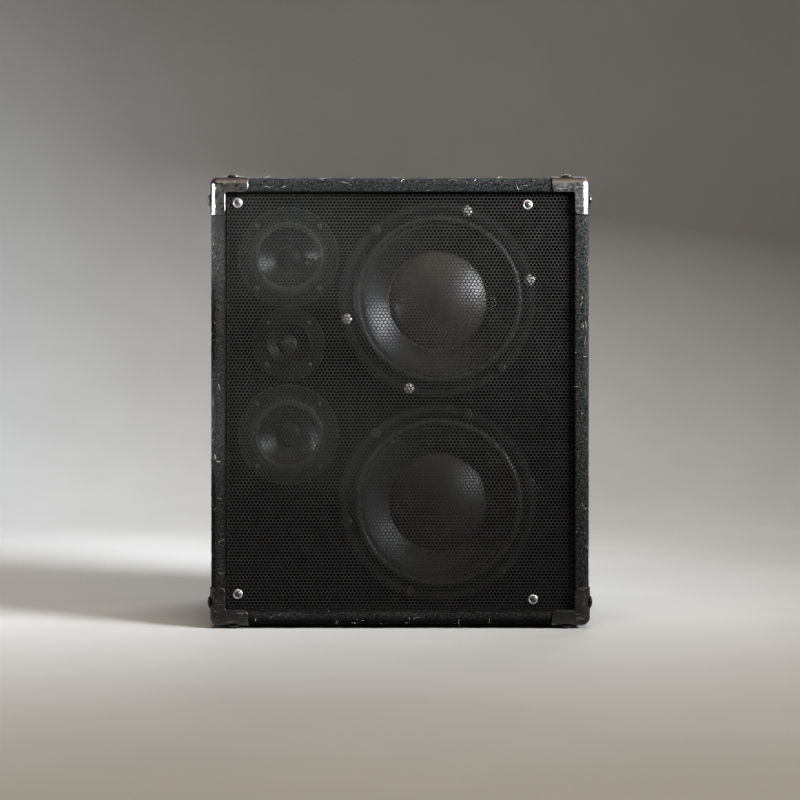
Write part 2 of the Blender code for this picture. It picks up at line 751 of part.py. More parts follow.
def make_input_tray(finish):
    outer = HALF_D + GAP + INPUT_SHEET
    floor = outer - INPUT_DEPTH
    middle = (0, INPUT_HEIGHT)
    flange = rounded_rectangle(middle, INPUT_FLANGE, INPUT_CORNER)
    tray = outline_prism(flange, 1, HALF_D + GAP, outer)
    ob = add_object("input_tray", tray, finish["black_steel"])
    wall_half = [h - 2 * GAP for h in INPUT_CUT]
    wall = rounded_rectangle(middle, wall_half, INPUT_CORNER - 2 * GAP)
    block = outline_prism(wall, 1, floor, outer - INPUT_SHEET / 2)
    apply_tool(ob, "input_tray_walls", block, "UNION")
    room_half = [h - INPUT_SHEET for h in wall_half]
    room = rounded_rectangle(middle, room_half, INPUT_CORNER - 2 * GAP - INPUT_SHEET)
    apply_tool(ob, "input_tray_room", outline_prism(room, 1, floor + INPUT_SHEET, outer + PLY))
    holes = (
        ("speaker", SPEAKER_SOCKET_X, 12.4 * MM),
        ("jack", JACK_SOCKET_X, 5.1 * MM),
        ("knob", KNOB_X, 3.6 * MM),
    )
    for name, x, radius in holes:
        outline = circle((x, INPUT_HEIGHT), radius, 16)
        apply_tool(ob, f"input_{name}_hole", outline_prism(outline, 1, floor - PLY, floor + PLY))
    return floor, floor + INPUT_SHEET


def make_input_fittings(finish, back, face):
    """Sockets and the level knob on the tray's floor, which lies between back and face."""
    seat = face + GAP
    end = back - 25 * MM
    socket = [
        (10.5 * MM, seat + 2.7 * MM),
        (15 * MM, seat + 2.7 * MM),
        (15 * MM, seat),
        (12 * MM, seat),
        (12 * MM, end),
        (0, end),
        (0, end + 2.5 * MM),
        (10.5 * MM, end + 2.5 * MM),
    ]
    bm = turned(socket, (SPEAKER_SOCKET_X, INPUT_HEIGHT), SMALL_SEGMENTS)
    round_off(add_object("speaker_socket", bm, finish["plastic"]))
    behind = back - GAP
    jack = [
        (3.3 * MM, seat + 4 * MM),
        (6.5 * MM, seat + 4 * MM),
        (6.5 * MM, seat),
        (4.7 * MM, seat),
        (4.7 * MM, behind),
        (9 * MM, behind),
        (9 * MM, end),
        (0, end),
        (0, end + 2 * MM),
        (3.3 * MM, end + 2 * MM),
    ]
    bm = turned(jack, (JACK_SOCKET_X, INPUT_HEIGHT), 16)
    round_off(add_object("jack_socket", bm, finish["plastic"]))
    knob = [
        (0, seat + 14 * MM),
        (8.2 * MM, seat + 14 * MM),
        (9.5 * MM, seat + 12.5 * MM),
        (10 * MM, seat + 0.5 * MM),
        (3 * MM, seat + 0.5 * MM),
        (3 * MM, back - 10 * MM),
        (0, back - 10 * MM),
    ]
    origin = (KNOB_X, seat, INPUT_HEIGHT)
    bm = turned(knob, (KNOB_X, INPUT_HEIGHT), 20)
    round_off(add_object("horn_level_knob", bm, finish["plastic"], origin))


# ---------------------------------------------------------------- crossover


def make_crossover(finish):
    back = BACK_INNER - BOARD_STANDOFF
    front = back - BOARD
    half_x, half_z = BOARD_HALF
    board = box(
        (-half_x, front, CROSSOVER_HEIGHT - half_z), (half_x, back, CROSSOVER_HEIGHT + half_z)
    )
    ob = add_object("crossover_board", board, finish["board"])
    for i, (sx, sz) in enumerate(((-1, -1), (1, -1), (1, 1), (-1, 1))):
        spot = (sx * (half_x - 8 * MM), CROSSOVER_HEIGHT + sz * (half_z - 8 * MM))
        post = outline_prism(circle(spot, 4 * MM, 10), 1, front + BOARD / 2, BACK_INNER - GAP)
        apply_tool(ob, f"crossover_post_{i}", post, "UNION")
    centre = (-25 * MM, CROSSOVER_HEIGHT)
    near = front - GAP
    ring = [
        (0.4 * COIL_RADIUS, near - 22 * MM),
        (COIL_RADIUS, near - 22 * MM),
        (COIL_RADIUS, near),
        (0.4 * COIL_RADIUS, near),
    ]
    bm = turned(ring, centre, SMALL_SEGMENTS)
    round_off(add_object("crossover_coil", bm, finish["copper"]))


def main():
    for ob in list(bpy.data.objects):
        bpy.data.objects.remove(ob)
    finish = finishes()
    make_case(finish)
    make_back_panel(finish)
    make_baffle(finish)
    make_carpet(finish)
    make_corners(finish)
    make_feet(finish)
    make_grille(finish)
    make_grille_screws(finish)
    for level, place in WOOFERS.items():
        make_woofer(level, place, finish)
    for level, place in MIDS.items():
        make_mid(level, place, finish)
    make_tweeter(finish)
    for side, name in ((-1, "left"), (1, "right")):
        make_handle(side, name, finish)
    tray_back, tray_face = make_input_tray(finish)
    make_input_fittings(finish, tray_back, tray_face)
    make_crossover(finish)


main()
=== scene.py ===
"""Looks of the carpet-covered PA speaker cabinet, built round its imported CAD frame.

Metres, +Z up, the grille faces -Y.
"""

import json
import math

import bmesh
import bpy
import numpy as np
from mathutils import Matrix, Vector


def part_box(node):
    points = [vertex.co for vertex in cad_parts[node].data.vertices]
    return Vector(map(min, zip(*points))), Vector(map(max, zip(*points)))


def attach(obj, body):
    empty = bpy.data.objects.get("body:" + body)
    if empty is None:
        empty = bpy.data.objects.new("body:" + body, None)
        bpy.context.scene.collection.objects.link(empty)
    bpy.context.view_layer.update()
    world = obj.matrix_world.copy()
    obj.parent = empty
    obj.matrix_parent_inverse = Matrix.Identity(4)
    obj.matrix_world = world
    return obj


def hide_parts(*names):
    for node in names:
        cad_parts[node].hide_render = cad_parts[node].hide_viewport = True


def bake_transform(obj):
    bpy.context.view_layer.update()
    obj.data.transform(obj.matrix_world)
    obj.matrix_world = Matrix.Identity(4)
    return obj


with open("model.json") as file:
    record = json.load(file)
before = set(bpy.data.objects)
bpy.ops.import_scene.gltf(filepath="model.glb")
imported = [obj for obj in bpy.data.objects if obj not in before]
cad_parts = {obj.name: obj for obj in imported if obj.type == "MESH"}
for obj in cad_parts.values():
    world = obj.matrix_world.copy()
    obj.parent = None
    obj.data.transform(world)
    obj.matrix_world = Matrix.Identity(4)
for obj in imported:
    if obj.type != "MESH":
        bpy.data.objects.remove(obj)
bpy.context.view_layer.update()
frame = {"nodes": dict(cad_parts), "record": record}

MM = 0.001
TURN = 2 * math.pi

CASE_LO, CASE_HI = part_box("carpet_wrap")
HALF_W = CASE_HI.x
HALF_H = (CASE_HI.z - CASE_LO.z) / 2
MIDDLE = (CASE_HI.z + CASE_LO.z) / 2
FRONT = CASE_LO.y
REAR = CASE_HI.y
BAFFLE_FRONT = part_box("front_baffle")[0].y
EDGE_RADIUS = 10 * MM
CARPET = 3 * MM
CLEAR = 0.3 * MM

LEVELS = ("upper", "lower")


def centre_of(node):
    lo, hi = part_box(node)
    return (lo + hi) / 2


# ---------------------------------------------------------------- materials


def rgba(colour):
    """A grey or an RGB colour with its alpha."""
    return (*colour, 1) if isinstance(colour, tuple) else (colour, colour, colour, 1)


class Finish:
    """A node material with a Principled shader, built up by the calls below."""

    def __init__(self, name, roughness, metallic=0.0, **constants):
        self.material = bpy.data.materials.new(name)
        self.material.use_nodes = True
        self.tree = self.material.node_tree
        self.shader = self.tree.nodes["Principled BSDF"]
        self.fill(self.shader, Roughness=roughness, Metallic=metallic, **constants)
        self.place = self.add("TexCoord").outputs["Object"]

    def put(self, value, socket):
        """Links an output to a socket, or sets the socket to a constant."""
        if isinstance(value, bpy.types.NodeSocket):
            self.tree.links.new(value, socket)
        else:
            socket.default_value = rgba(value) if socket.type == "RGBA" else value

    def fill(self, node, **sockets):
        """Puts values in a node's sockets, named with _ for a space."""
        for name, value in sockets.items():
            self.put(value, node.inputs[name.replace("_", " ")])

    def add(self, kind, **sockets):
        node = self.tree.nodes.new(f"ShaderNode{kind}")
        self.fill(node, **sockets)
        return node

    def stretched(self, scale, turn=(0, 0, 0)):
        """The object's own coordinates, turned and then scaled along each axis."""
        return self.add("Mapping", Vector=self.place, Scale=scale, Rotation=turn).outputs["Vector"]

    def part(self, vector, letter):
        return self.add("SeparateXYZ", Vector=vector).outputs[letter]

    def noise(self, scale, detail=3.0, roughness=0.6, place=None):
        sockets = {"Scale": scale, "Detail": detail, "Roughness": roughness}
        return self.add("TexNoise", Vector=place or self.place, **sockets).outputs["Fac"]

    def cells(self, scale, feature="F1"):
        node = self.add("TexVoronoi", Vector=self.place, Scale=scale)
        node.feature = feature
        return node.outputs["Distance"]

    def waves(self, scale, distortion=0.0, place=None, direction="X"):
        node = self.add("TexWave", Vector=place or self.place, Scale=scale, Distortion=distortion)
        node.bands_direction = direction
        return node.outputs["Fac"]

    def ramp(self, value, stops):
        """Colours along value: stops are (place, colour) pairs, where a colour is a grey or an RGB."""
        node = self.add("ValToRGB", Fac=value)
        marks = node.color_ramp.elements
        while len(marks) < len(stops):
            marks.new(0.5)
        for mark, (at, colour) in zip(marks, stops):
            mark.position = at
            mark.color = rgba(colour)
        return node.outputs["Color"]

    def range(self, value, low, high, start=0.3, end=0.7):
        """Value between start and end becomes a number between low and high."""
        node = self.add("MapRange", Value=value, From_Min=start, From_Max=end, To_Min=low, To_Max=high)
        return node.outputs["Result"]

    def math(self, kind, a, b=0):
        node = self.add("Math")
        node.operation = kind
        self.put(a, node.inputs[0])
        self.put(b, node.inputs[1])
        return node.outputs["Value"]

    def mix(self, share, a, b):
        """Colour a where share is 0 and colour b where it is 1."""
        node = self.add("Mix")
        node.data_type = "RGBA"
        for index, value in ((0, share), (6, a), (7, b)):
            self.put(value, node.inputs[index])
        return node.outputs[2]

    def colour(self, value):
        self.fill(self.shader, Base_Color=value)

    def roughness(self, value):
        self.fill(self.shader, Roughness=value)

    def bump(self, *heights):
        """Bumps from (height, distance in metres) pairs, one on top of the other. Returns the material."""
        under = None
        for height, distance in heights:
            node = self.add("Bump", Height=height, Strength=1.0, Distance=distance)
            if under is not None:
                self.fill(node, Normal=under)
            under = node.outputs["Normal"]
        self.fill(self.shader, Normal=under)
        return self.material


def mottled(name, roughness, tone, stops, change, grain, height, metallic=0.0, **constants):
    """Colours along one noise and bumps from a finer one, each given as its scale, detail and roughness. height
    is in millimetres. change is what the first noise adds to the shader's roughness at its two ends."""
    f = Finish(name, roughness, metallic, **constants)
    spots = f.noise(*tone)
    f.colour(f.ramp(spots, stops))
    if change:
        f.roughness(f.range(spots, roughness + change[0], roughness + change[1]))
    return f.bump((f.noise(*grain), height * MM))


def times(factor, colour):
    return tuple(factor * c for c in colour)


def carpet_finish(name="carpet", dark=0.0022, light=0.020, lip=False):
    """Needle-punched carpet of dark and pale fibre with specks. A paler, dust-tinted tone laid on by height is
    painted light from above; the foot has a painted shadow, and with lip the inner lip has painted shade.
    """
    f = Finish(name, 0.97, Sheen_Weight=0.02, Sheen_Roughness=0.5, Specular_IOR_Level=0.03)
    fibre = f.noise(900, 3, 0.7)
    clumps = f.noise(400, 3, 0.7)
    worn = f.noise(16, 4, 0.6)
    mixed = f.math("ADD", f.math("MULTIPLY", fibre, 0.45), f.math("MULTIPLY", clumps, 0.55))
    tint = f.ramp(mixed, [(0.43, dark), (0.50, 0.3 * light), (0.58, 1.5 * light)])
    # A paler, dust-tinted tone; laid on by height below, it is painted light from above with a dust tint.
    dust_and_light_tone = f.ramp(mixed, [(0.43, 0.25 * light), (0.58, times(light, (2.4, 2.3, 2.15)))])
    height = f.part(f.place, "Z")
    # Painted light: the paler tone grows up the sides towards the top, is left off the top face, and is laid on
    # the band just above the foot.
    below_top = f.range(height, 1.0, 0.0, 0.560, 0.570)
    dirt_and_painted_light = f.math("MULTIPLY", f.range(height, 0.12, 0.55, 0.1, 0.56), below_top)
    painted_light_and_dust = f.math("MAXIMUM", dirt_and_painted_light, f.range(height, 0.55, 0.0, 0.03, 0.045))
    share = f.math("MULTIPLY", painted_light_and_dust, f.range(worn, 0.3, 1.0, 0.42, 0.7))
    # Painted shadow: the carpet goes near black at the foot, where the cabinet meets the ground.
    shaded_tone = f.mix(f.range(height, 0.97, 0.0, 0.010, 0.019), f.mix(share, tint, dust_and_light_tone), 0.0015)
    if lip:
        across = f.math("SUBTRACT", HALF_W, f.math("ABSOLUTE", f.part(f.place, "X")))
        upright = f.math("SUBTRACT", HALF_H, f.math("ABSOLUTE", f.math("SUBTRACT", height, MIDDLE)))
        # Painted shade: the inner lip, going into the grille's recess, is darkened.
        inner = f.range(f.math("MINIMUM", across, upright), 0.0, 0.9, 16 * MM, 19.5 * MM)
        shaded_tone = f.mix(inner, shaded_tone, 0.0015)
    specks = f.range(f.cells(140), 0.8, 0.0, 0.05, 0.11)
    kept = f.math("MULTIPLY", specks, f.range(f.noise(60, 1, 0.5), 0.0, 1.0, 0.56, 0.62))
    f.colour(f.mix(kept, shaded_tone, (0.34, 0.33, 0.30)))
    return f.bump((fibre, 0.5 * MM), (clumps, 0.9 * MM))


def lint_finish():
    stops = [(0.3, (0.42, 0.40, 0.35)), (0.7, (0.78, 0.76, 0.70))]
    return mottled("lint", 0.9, (60, 2), stops, None, (3000, 2), 0.05, Sheen_Weight=0.3)


def powder_finish(name, grey, roughness, grain=0.05, specular=0.4):
    """Powder coat: an orange-peel grain and a little dust in it."""
    tone = (1.05 * grey, grey, 0.92 * grey)
    stops = [(0.35, tone), (0.62, times(1.25, tone)), (0.8, times(2.2, tone))]
    change, peel = (-0.06, 0.14), (1400, 3, 0.6)
    return mottled(name, roughness, (35, 5, 0.7), stops, change, peel, grain, Specular_IOR_Level=specular)


def nickel_finish(name, shine, scratched):
    """Nickel plate gone dull and scuffed, darker and rougher on what faces up: partly grime, partly painted
    shade over the overhead light's reflection. shine scales the plate's colours and scratched says how much the
    scratches show."""
    f = Finish(name, 0.3, 1.0)
    stain = f.noise(26, 4, 0.6)
    haze = f.noise(180, 4, 0.7)
    long_lines = f.noise(60, 2, 0.5, f.stretched((1.0, 14.0, 9.0), (0.5, 0.9, 0.3)))
    short_lines = f.noise(160, 3, 0.6, f.stretched((11.0, 1.0, 2.5), (1.1, 0.2, 0.8)))
    tones = ((0.60, 0.59, 0.58), (0.47, 0.46, 0.45), (0.38, 0.365, 0.35))
    fresh, dull, stained = (times(shine, tone) for tone in tones)
    base = f.ramp(stain, [(0.25, stained), (0.5, dull), (0.75, fresh)])
    lines = f.math("MAXIMUM", f.range(long_lines, 0, 1, 0.62, 0.68), f.range(short_lines, 0, 1, 0.64, 0.7))
    scuffed = f.mix(f.math("MULTIPLY", lines, 0.6 * scratched), base, (0.78, 0.77, 0.75))
    upward = f.part(f.add("NewGeometry").outputs["Normal"], "Z")
    # Darker and rougher where it faces up: partly grime, partly painted shade that keeps the overhead light's
    # reflection off the top edges.
    dirt_and_painted_light = f.math("MULTIPLY", f.range(upward, 0.0, 1.0, 0.05, 0.35), f.range(haze, 0.65, 1.0))
    f.colour(f.mix(dirt_and_painted_light, scuffed, (0.050, 0.042, 0.034)))
    f.roughness(f.math("MAXIMUM", f.range(haze, 0.22, 0.42, 0.35, 0.65), f.math("MULTIPLY", dirt_and_painted_light, 0.62)))
    return f.bump((haze, 0.02 * MM))


def steel_finish(name, colour, roughness):
    stops = [(0.35, times(0.55, colour)), (0.6, colour)]
    return mottled(name, roughness, (300, 4, 0.7), stops, (0.15, -0.05), (900, 2), 0.02, 1.0)


def rubber_finish():
    stops, bloom = [(0.35, 0.012), (0.7, 0.035)], (90, 4, 0.65)
    return mottled("rubber", 0.75, bloom, stops, (-0.1, 0.1), (1600, 2), 0.04, Specular_IOR_Level=0.35)


def paint_finish(name, colour, roughness, specular):
    """Sprayed paint on metal, with small runs of tone and fine grain."""
    stops, tone, grain = [(0.38, colour), (0.72, times(1.5, colour))], (45, 4, 0.6), (1100, 3)
    return mottled(name, roughness, tone, stops, (-0.05, 0.08), grain, 0.04, Specular_IOR_Level=specular)


def pulp_finish(name, dark, light, roughness, coat=0.0, specular=0.5, grain=0.002):
    """Pressed paper pulp, with its fibres showing, and a coat where it is doped."""
    f = Finish(name, roughness, Coat_Weight=coat, Coat_Roughness=roughness, Specular_IOR_Level=specular)
    fibre = f.noise(700, 5, 0.75)
    tone = f.noise(30, 3, 0.5)
    f.colour(f.mix(f.range(tone, 0.0, 0.5), f.ramp(fibre, [(0.3, dark), (0.7, light)]), light))
    f.roughness(f.range(fibre, roughness - 0.04, roughness + 0.06))
    return f.bump((fibre, grain * MM))


def weave_finish(name, dark, light, roughness, pitch, coat=0.0, specular=0.4):
    """Woven cloth, its two sets of threads a pitch apart, soaked in resin and coated where it is doped."""
    f = Finish(name, roughness, Coat_Weight=coat, Coat_Roughness=0.42, Specular_IOR_Level=specular)
    across = f.waves(0.5 / pitch, 0.6, direction="X")
    along = f.waves(0.5 / pitch, 0.6, direction="Z")
    threads = f.math("MULTIPLY", across, along)
    soaked = f.noise(120, 3, 0.6)
    f.colour(f.mix(f.range(soaked, 0.0, 0.7), f.ramp(threads, [(0.1, dark), (0.7, light)]), dark))
    return f.bump((threads, 0.12 * MM))


def plastic_finish(name, colour, roughness, specular=0.5):
    stops, tone, grain = [(0.35, colour), (0.75, times(1.4, colour))], (25, 3, 0.5), (1900, 2, 0.5)
    return mottled(name, roughness, tone, stops, (-0.05, 0.08), grain, 0.04, Specular_IOR_Level=specular)


def plywood_finish():
    f = Finish("plywood", 0.65, Specular_IOR_Level=0.3)
    grain = f.noise(90, 5, 0.65, f.stretched((1.0, 0.12, 0.12)))
    rings = f.waves(40, 6.0, f.stretched((1.0, 0.2, 0.2)))
    tone = f.ramp(grain, [(0.3, (0.42, 0.27, 0.14)), (0.7, (0.66, 0.48, 0.29))])
    f.colour(f.mix(f.range(rings, 0.0, 0.35, 0.2, 1.0), tone, (0.36, 0.22, 0.11)))
    return f.bump((grain, 0.15 * MM))


def baffle_finish():
    """Matt black paint rolled on plywood, so the grain still shows a little."""
    f = Finish("baffle_paint", 0.85, Specular_IOR_Level=0.02)
    grain = f.noise(80, 5, 0.65, f.stretched((1.0, 1.0, 0.1)))
    nap = f.noise(500, 3, 0.6)
    f.colour(f.ramp(grain, [(0.3, 0.0010), (0.7, 0.0025)]))
    f.roughness(f.range(nap, 0.75, 0.95))
    return f.bump((grain, 0.2 * MM), (nap, 0.15 * MM))


def ferrite_finish():
    f = Finish("ferrite", 0.6, Specular_IOR_Level=0.5)
    f.colour(f.ramp(f.noise(70, 4), [(0.3, (0.03, 0.03, 0.033)), (0.7, (0.07, 0.068, 0.07))]))
    return f.bump((f.cells(600), 0.1 * MM))


def board_finish():
    f = Finish("board", 0.45)
    tracks = f.cells(90, "DISTANCE_TO_EDGE")
    f.colour(f.ramp(tracks, [(0.02, (0.10, 0.26, 0.10)), (0.06, (0.03, 0.10, 0.04))]))
    return f.bump((tracks, 0.05 * MM))


COIL_PITCH = 2.2 * MM


def copper_finish():
    f = Finish("copper", 0.3, 1.0)
    turns = f.waves(0.5 / COIL_PITCH, 0.0, direction="Y")
    f.colour(f.ramp(turns, [(0.1, (0.30, 0.10, 0.04)), (0.6, (0.80, 0.38, 0.20))]))
    return f.bump((turns, 0.5 * MM))


def mark_finish():
    return mottled("white_print", 0.5, (800, 3), [(0.3, 0.50), (0.6, 0.72)], None, (1500, 2), 0.01)


MATERIALS = {
    "carpet": carpet_finish(),
    # The front edge's carpet, with painted shade on its inner lip.
    "carpet_edge": carpet_finish("carpet_edge", lip=True),
    "fuzz": carpet_finish("carpet_fuzz", 0.006, 0.042),
    "lint": lint_finish(),
    "plywood": plywood_finish(),
    "baffle": baffle_finish(),
    "grille": powder_finish("grille", 0.0100, 0.42, 0.03, 0.13),
    "black_steel": powder_finish("black_steel", 0.018, 0.4, 0.08),
    "nickel": nickel_finish("nickel", 0.34, 0.6),
    # The bottom corners' nickel: the same plate made far darker, as painted shade near the ground.
    "shaded_nickel": nickel_finish("shaded_nickel", 0.075, 0.3),
    "screw": steel_finish("screw", (0.10, 0.095, 0.09), 0.45),
    "bright_bolt": steel_finish("bright_bolt", (0.55, 0.54, 0.52), 0.5),
    "zinc": steel_finish("zinc", (0.62, 0.61, 0.58), 0.32),
    "black_bolt": steel_finish("black_bolt", (0.06, 0.06, 0.06), 0.4),
    "steel": steel_finish("steel", (0.5, 0.5, 0.5), 0.35),
    "rubber": rubber_finish(),
    "basket": paint_finish("basket", (0.003, 0.003, 0.003), 0.5, 0.07),
    "mid_flange": paint_finish("mid_flange", (0.010, 0.010, 0.007), 0.45, 0.06),
    "gasket": pulp_finish("gasket", 0.006, 0.012, 0.85, 0.0, 0.1, 0.05),
    "ferrite": ferrite_finish(),
    "paper": pulp_finish("paper", 0.002, 0.004, 0.36, 0.2, 0.2),
    "paper_lower": pulp_finish("paper_lower", 0.0025, 0.005, 0.46, 0.1, 0.2),
    "cap": pulp_finish("cap", (0.050, 0.038, 0.028), (0.068, 0.053, 0.040), 0.42, 1.0, 1.0),
    "cap_upper": pulp_finish("cap_upper", (0.018, 0.0135, 0.0095), (0.025, 0.019, 0.014), 0.42, 0.35, 0.4),
    # The lower woofer's cap is the same pulp at about a third of the upper's colour: painted shade.
    "cap_lower": pulp_finish("cap_lower", (0.006, 0.0047, 0.0037), (0.009, 0.0072, 0.0056), 0.46, 0.2, 0.25),
    "mid_cone": pulp_finish("mid_cone", 0.002, 0.004, 0.33, 0.0, 0.11),
    "surround": weave_finish("surround", 0.005, 0.009, 0.6, 0.5 * MM, 0.3, 0.25),
    "spider": weave_finish("spider", (0.30, 0.17, 0.05), (0.60, 0.42, 0.16), 0.85, 0.8 * MM),
    "plastic": plastic_finish("plastic", (0.016, 0.016, 0.017), 0.4),
    "faceplate": plastic_finish("faceplate", (0.005, 0.005, 0.0045), 0.42, 0.08),
    "dome": weave_finish("dome", 0.008, 0.02, 0.3, 0.35 * MM),
    "board": board_finish(),
    "copper": copper_finish(),
    "mark": mark_finish(),
}

# The record's slot that each finish belongs to, where the names differ
SLOTS = {
    "shaded_nickel": "nickel",
    "carpet_edge": "carpet",
    "fuzz": "carpet",
    "lint": "carpet",
    "bright_bolt": "steel",
    "zinc": "steel",
    "screw": "steel",
    "black_bolt": "steel",
    "mid_flange": "basket",
    "gasket": "surround",
    "mid_cone": "cap",
    "paper_lower": "paper",
    "cap_upper": "cap",
    "cap_lower": "cap",
    "faceplate": "plastic",
    "mark": "plastic",
}


# ---------------------------------------------------------------- mesh tools


def piece(name, mesh, finish, body="cabinet", replaces=(), sharp=35):
    """Makes an object of a finished mesh, and lets it ride on a body and stand for CAD nodes."""
    mesh.materials.clear()
    mesh.materials.append(MATERIALS[finish])
    if sharp is not None:
        mesh.shade_smooth()
        mesh.set_sharp_from_angle(angle=math.radians(sharp))
    ob = bpy.data.objects.new(name, mesh)
    bpy.context.scene.collection.objects.link(ob)
    SLOTS.get(finish, finish)
    if replaces:
        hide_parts(*replaces)
    if body is not None:
        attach(ob, body)
    return ob


def mesh_of(name, vertices, groups):
    """A mesh of vertices and groups of faces, where a group's faces all have the same number of corners."""
    groups = [np.asarray(g, dtype=np.int32) for g in groups if len(g)]
    corners = np.concatenate([g.ravel() for g in groups])
    counts = np.concatenate([np.full(len(g), g.shape[1], dtype=np.int32) for g in groups])
    starts = np.concatenate([[0], np.cumsum(counts)[:-1]]).astype(np.int32)
    mesh = bpy.data.meshes.new(name)
    mesh.vertices.add(len(vertices))
    mesh.vertices.foreach_set("co", np.asarray(vertices, dtype=np.float32).ravel())
    mesh.loops.add(len(corners))
    mesh.loops.foreach_set("vertex_index", corners)
    mesh.polygons.add(len(starts))
    mesh.polygons.foreach_set("loop_start", starts)
    mesh.update(calc_edges=True)
    return mesh


def solid_of(mesh):
    bm = bmesh.new()
    bm.from_mesh(mesh)
    return bm


def pour(bm, mesh):
    """Writes bm into a mesh and frees it."""
    bm.to_mesh(mesh)
    bm.free()
    return mesh


def outward(mesh):
    """Turns a closed mesh's faces outward."""
    bm = solid_of(mesh)
    bmesh.ops.recalc_face_normals(bm, faces=bm.faces)
    return pour(bm, mesh)


def vertex_arrays(mesh):
    """The places and the normals of the vertices, as two arrays of rows."""
    arrays = []
    for source, key in ((mesh.vertices, "co"), (mesh.vertex_normals, "vector")):
        flat = np.empty(3 * len(mesh.vertices))
        source.foreach_get(key, flat)
        arrays.append(flat.reshape(-1, 3))
    return arrays


def soften(points, radius, steps=2):
    """Rounds each corner of a closed outline. Corners flatter than about 25 degrees stay."""
    result = []
    count = len(points)
    for i, point in enumerate(points):
        here = Vector(point)
        before = Vector(points[i - 1]) - here
        after = Vector(points[(i + 1) % count]) - here
        if before.length < 1e-9 or after.length < 1e-9 or before.angle(after) > math.radians(155):
            result.append(tuple(here))
            continue
        reach = min(radius, 0.45 * before.length, 0.45 * after.length)
        a = here + before.normalized() * reach
        b = here + after.normalized() * reach
        for step in range(steps + 1):
            t = step / steps
            result.append(tuple(a * (1 - t) ** 2 + here * 2 * t * (1 - t) + b * t**2))
    return result


def in_mm(points, depth=0.0):
    """Turns (radius, depth) pairs in millimetres into metres, with depth counted from a plane."""
    return [(r * MM, depth + y * MM) for r, y in points]


def lathe(name, profile, segments):
    """Turns a closed outline of (radius, height) points about Z. Points on the axis become one vertex."""
    bm = bmesh.new()
    rings = []
    for radius, height in profile:
        if radius < 1e-7:
            rings.append([bm.verts.new((0, 0, height))] * segments)
            continue
        turns = (TURN * i / segments for i in range(segments))
        rings.append([bm.verts.new((radius * math.cos(t), radius * math.sin(t), height)) for t in turns])
    for k, ring in enumerate(rings):
        after = rings[(k + 1) % len(rings)]
        if ring[0] is ring[1] and after[0] is after[1]:
            continue
        for i in range(segments):
            j = (i + 1) % segments
            bm.faces.new(dict.fromkeys((ring[i], ring[j], after[j], after[i])))
    bmesh.ops.recalc_face_normals(bm, faces=bm.faces)
    return pour(bm, bpy.data.meshes.new(name))


def facing(at, axis):
    """A matrix that stands an object made along +Z at a point, pointing along axis."""
    turn = Vector((0, 0, 1)).rotation_difference(Vector(axis)).to_matrix().to_4x4()
    return Matrix.Translation(at) @ turn


TOWARDS_BACK = (0, 1, 0)
TOWARDS_FRONT = (0, -1, 0)


def placed(mesh, at, axis):
    """A copy of the mesh, stood at a point and pointing along axis."""
    copy = mesh.copy()
    copy.transform(facing(at, axis))
    return copy


def turned(name, profile, centre, finish, body="cabinet", segments=128, replaces=(), sharp=35):
    """A piece turned about the line along Y through centre. The profile's heights are Y values."""
    mesh = lathe(name, profile, segments)
    mesh.transform(facing((centre.x, 0, centre.z), TOWARDS_BACK))
    return piece(name, mesh, finish, body, replaces, sharp)


def tooled(name, bm, tools):
    """The solid bm after (operation, bm) tools have been applied in turn, as a mesh."""

    def stand(bm, label):
        bmesh.ops.recalc_face_normals(bm, faces=bm.faces)
        ob = bpy.data.objects.new(label, pour(bm, bpy.data.meshes.new(label)))
        bpy.context.scene.collection.objects.link(ob)
        return ob

    body = stand(bm, name)
    helpers = []
    for number, (operation, tool) in enumerate(tools):
        helper = stand(tool, f"{name}_tool_{number}")
        change = body.modifiers.new("tool", "BOOLEAN")
        change.operation = operation
        change.object = helper
        helpers.append(helper)
    shape = body.evaluated_get(bpy.context.evaluated_depsgraph_get())
    result = bpy.data.meshes.new_from_object(shape)
    for ob in [body, *helpers]:
        bpy.data.objects.remove(ob)
    return result


def block(lo, hi, radius=0.0, segments=8):
    """A box, with its edges rounded where a radius is given."""
    bm = bmesh.new()
    bmesh.ops.create_cube(bm, size=1)
    size = Vector(hi) - Vector(lo)
    middle = (Vector(hi) + Vector(lo)) / 2
    for v in bm.verts:
        v.co = Vector(a * b for a, b in zip(v.co, size)) + middle
    if radius:
        bmesh.ops.bevel(bm, geom=bm.edges[:], offset=radius, segments=segments, profile=0.5, affect="EDGES")
    return bm


def prism(outline, lo, hi, axis=2):
    """A flat outline extruded along an axis. Its two numbers are the other two axes in order."""
    bm = bmesh.new()
    places = [i for i in range(3) if i != axis]
    rings = []
    for level in (lo, hi):
        ring = []
        for a, b in outline:
            at = [0.0, 0.0, 0.0]
            at[axis], at[places[0]], at[places[1]] = level, a, b
            ring.append(bm.verts.new(at))
        bm.faces.new(ring)
        rings.append(ring)
    for i in range(len(outline)):
        j = (i + 1) % len(outline)
        bm.faces.new((rings[0][i], rings[0][j], rings[1][j], rings[1][i]))
    return bm


def circle(radius, segments, turn=0.0):
    turns = (turn + TURN * i / segments for i in range(segments))
    return [(radius * math.cos(t), radius * math.sin(t)) for t in turns]


def lattice_noise(points, size, seed):
    """Smooth noise from -1 to 1 at each point, its bumps about size apart."""
    at = points / size
    cell = np.floor(at).astype(np.int64)
    part = at - cell
    part = part * part * (3 - 2 * part)
    total = np.zeros(len(points))
    primes = np.array([73856093, 19349663, 83492791])
    for corner in range(8):
        step = np.array([corner & 1, corner >> 1 & 1, corner >> 2])
        key = (cell + step) @ primes + seed * 1013904223
        key = ((key ^ (key >> 13)) * 1274126177) & 0x7FFFFFFF
        value = ((key ^ (key >> 16)) & 0xFFFF) / 32767.5 - 1
        total += value * np.prod(np.where(step, part, 1 - part), axis=1)
    return total


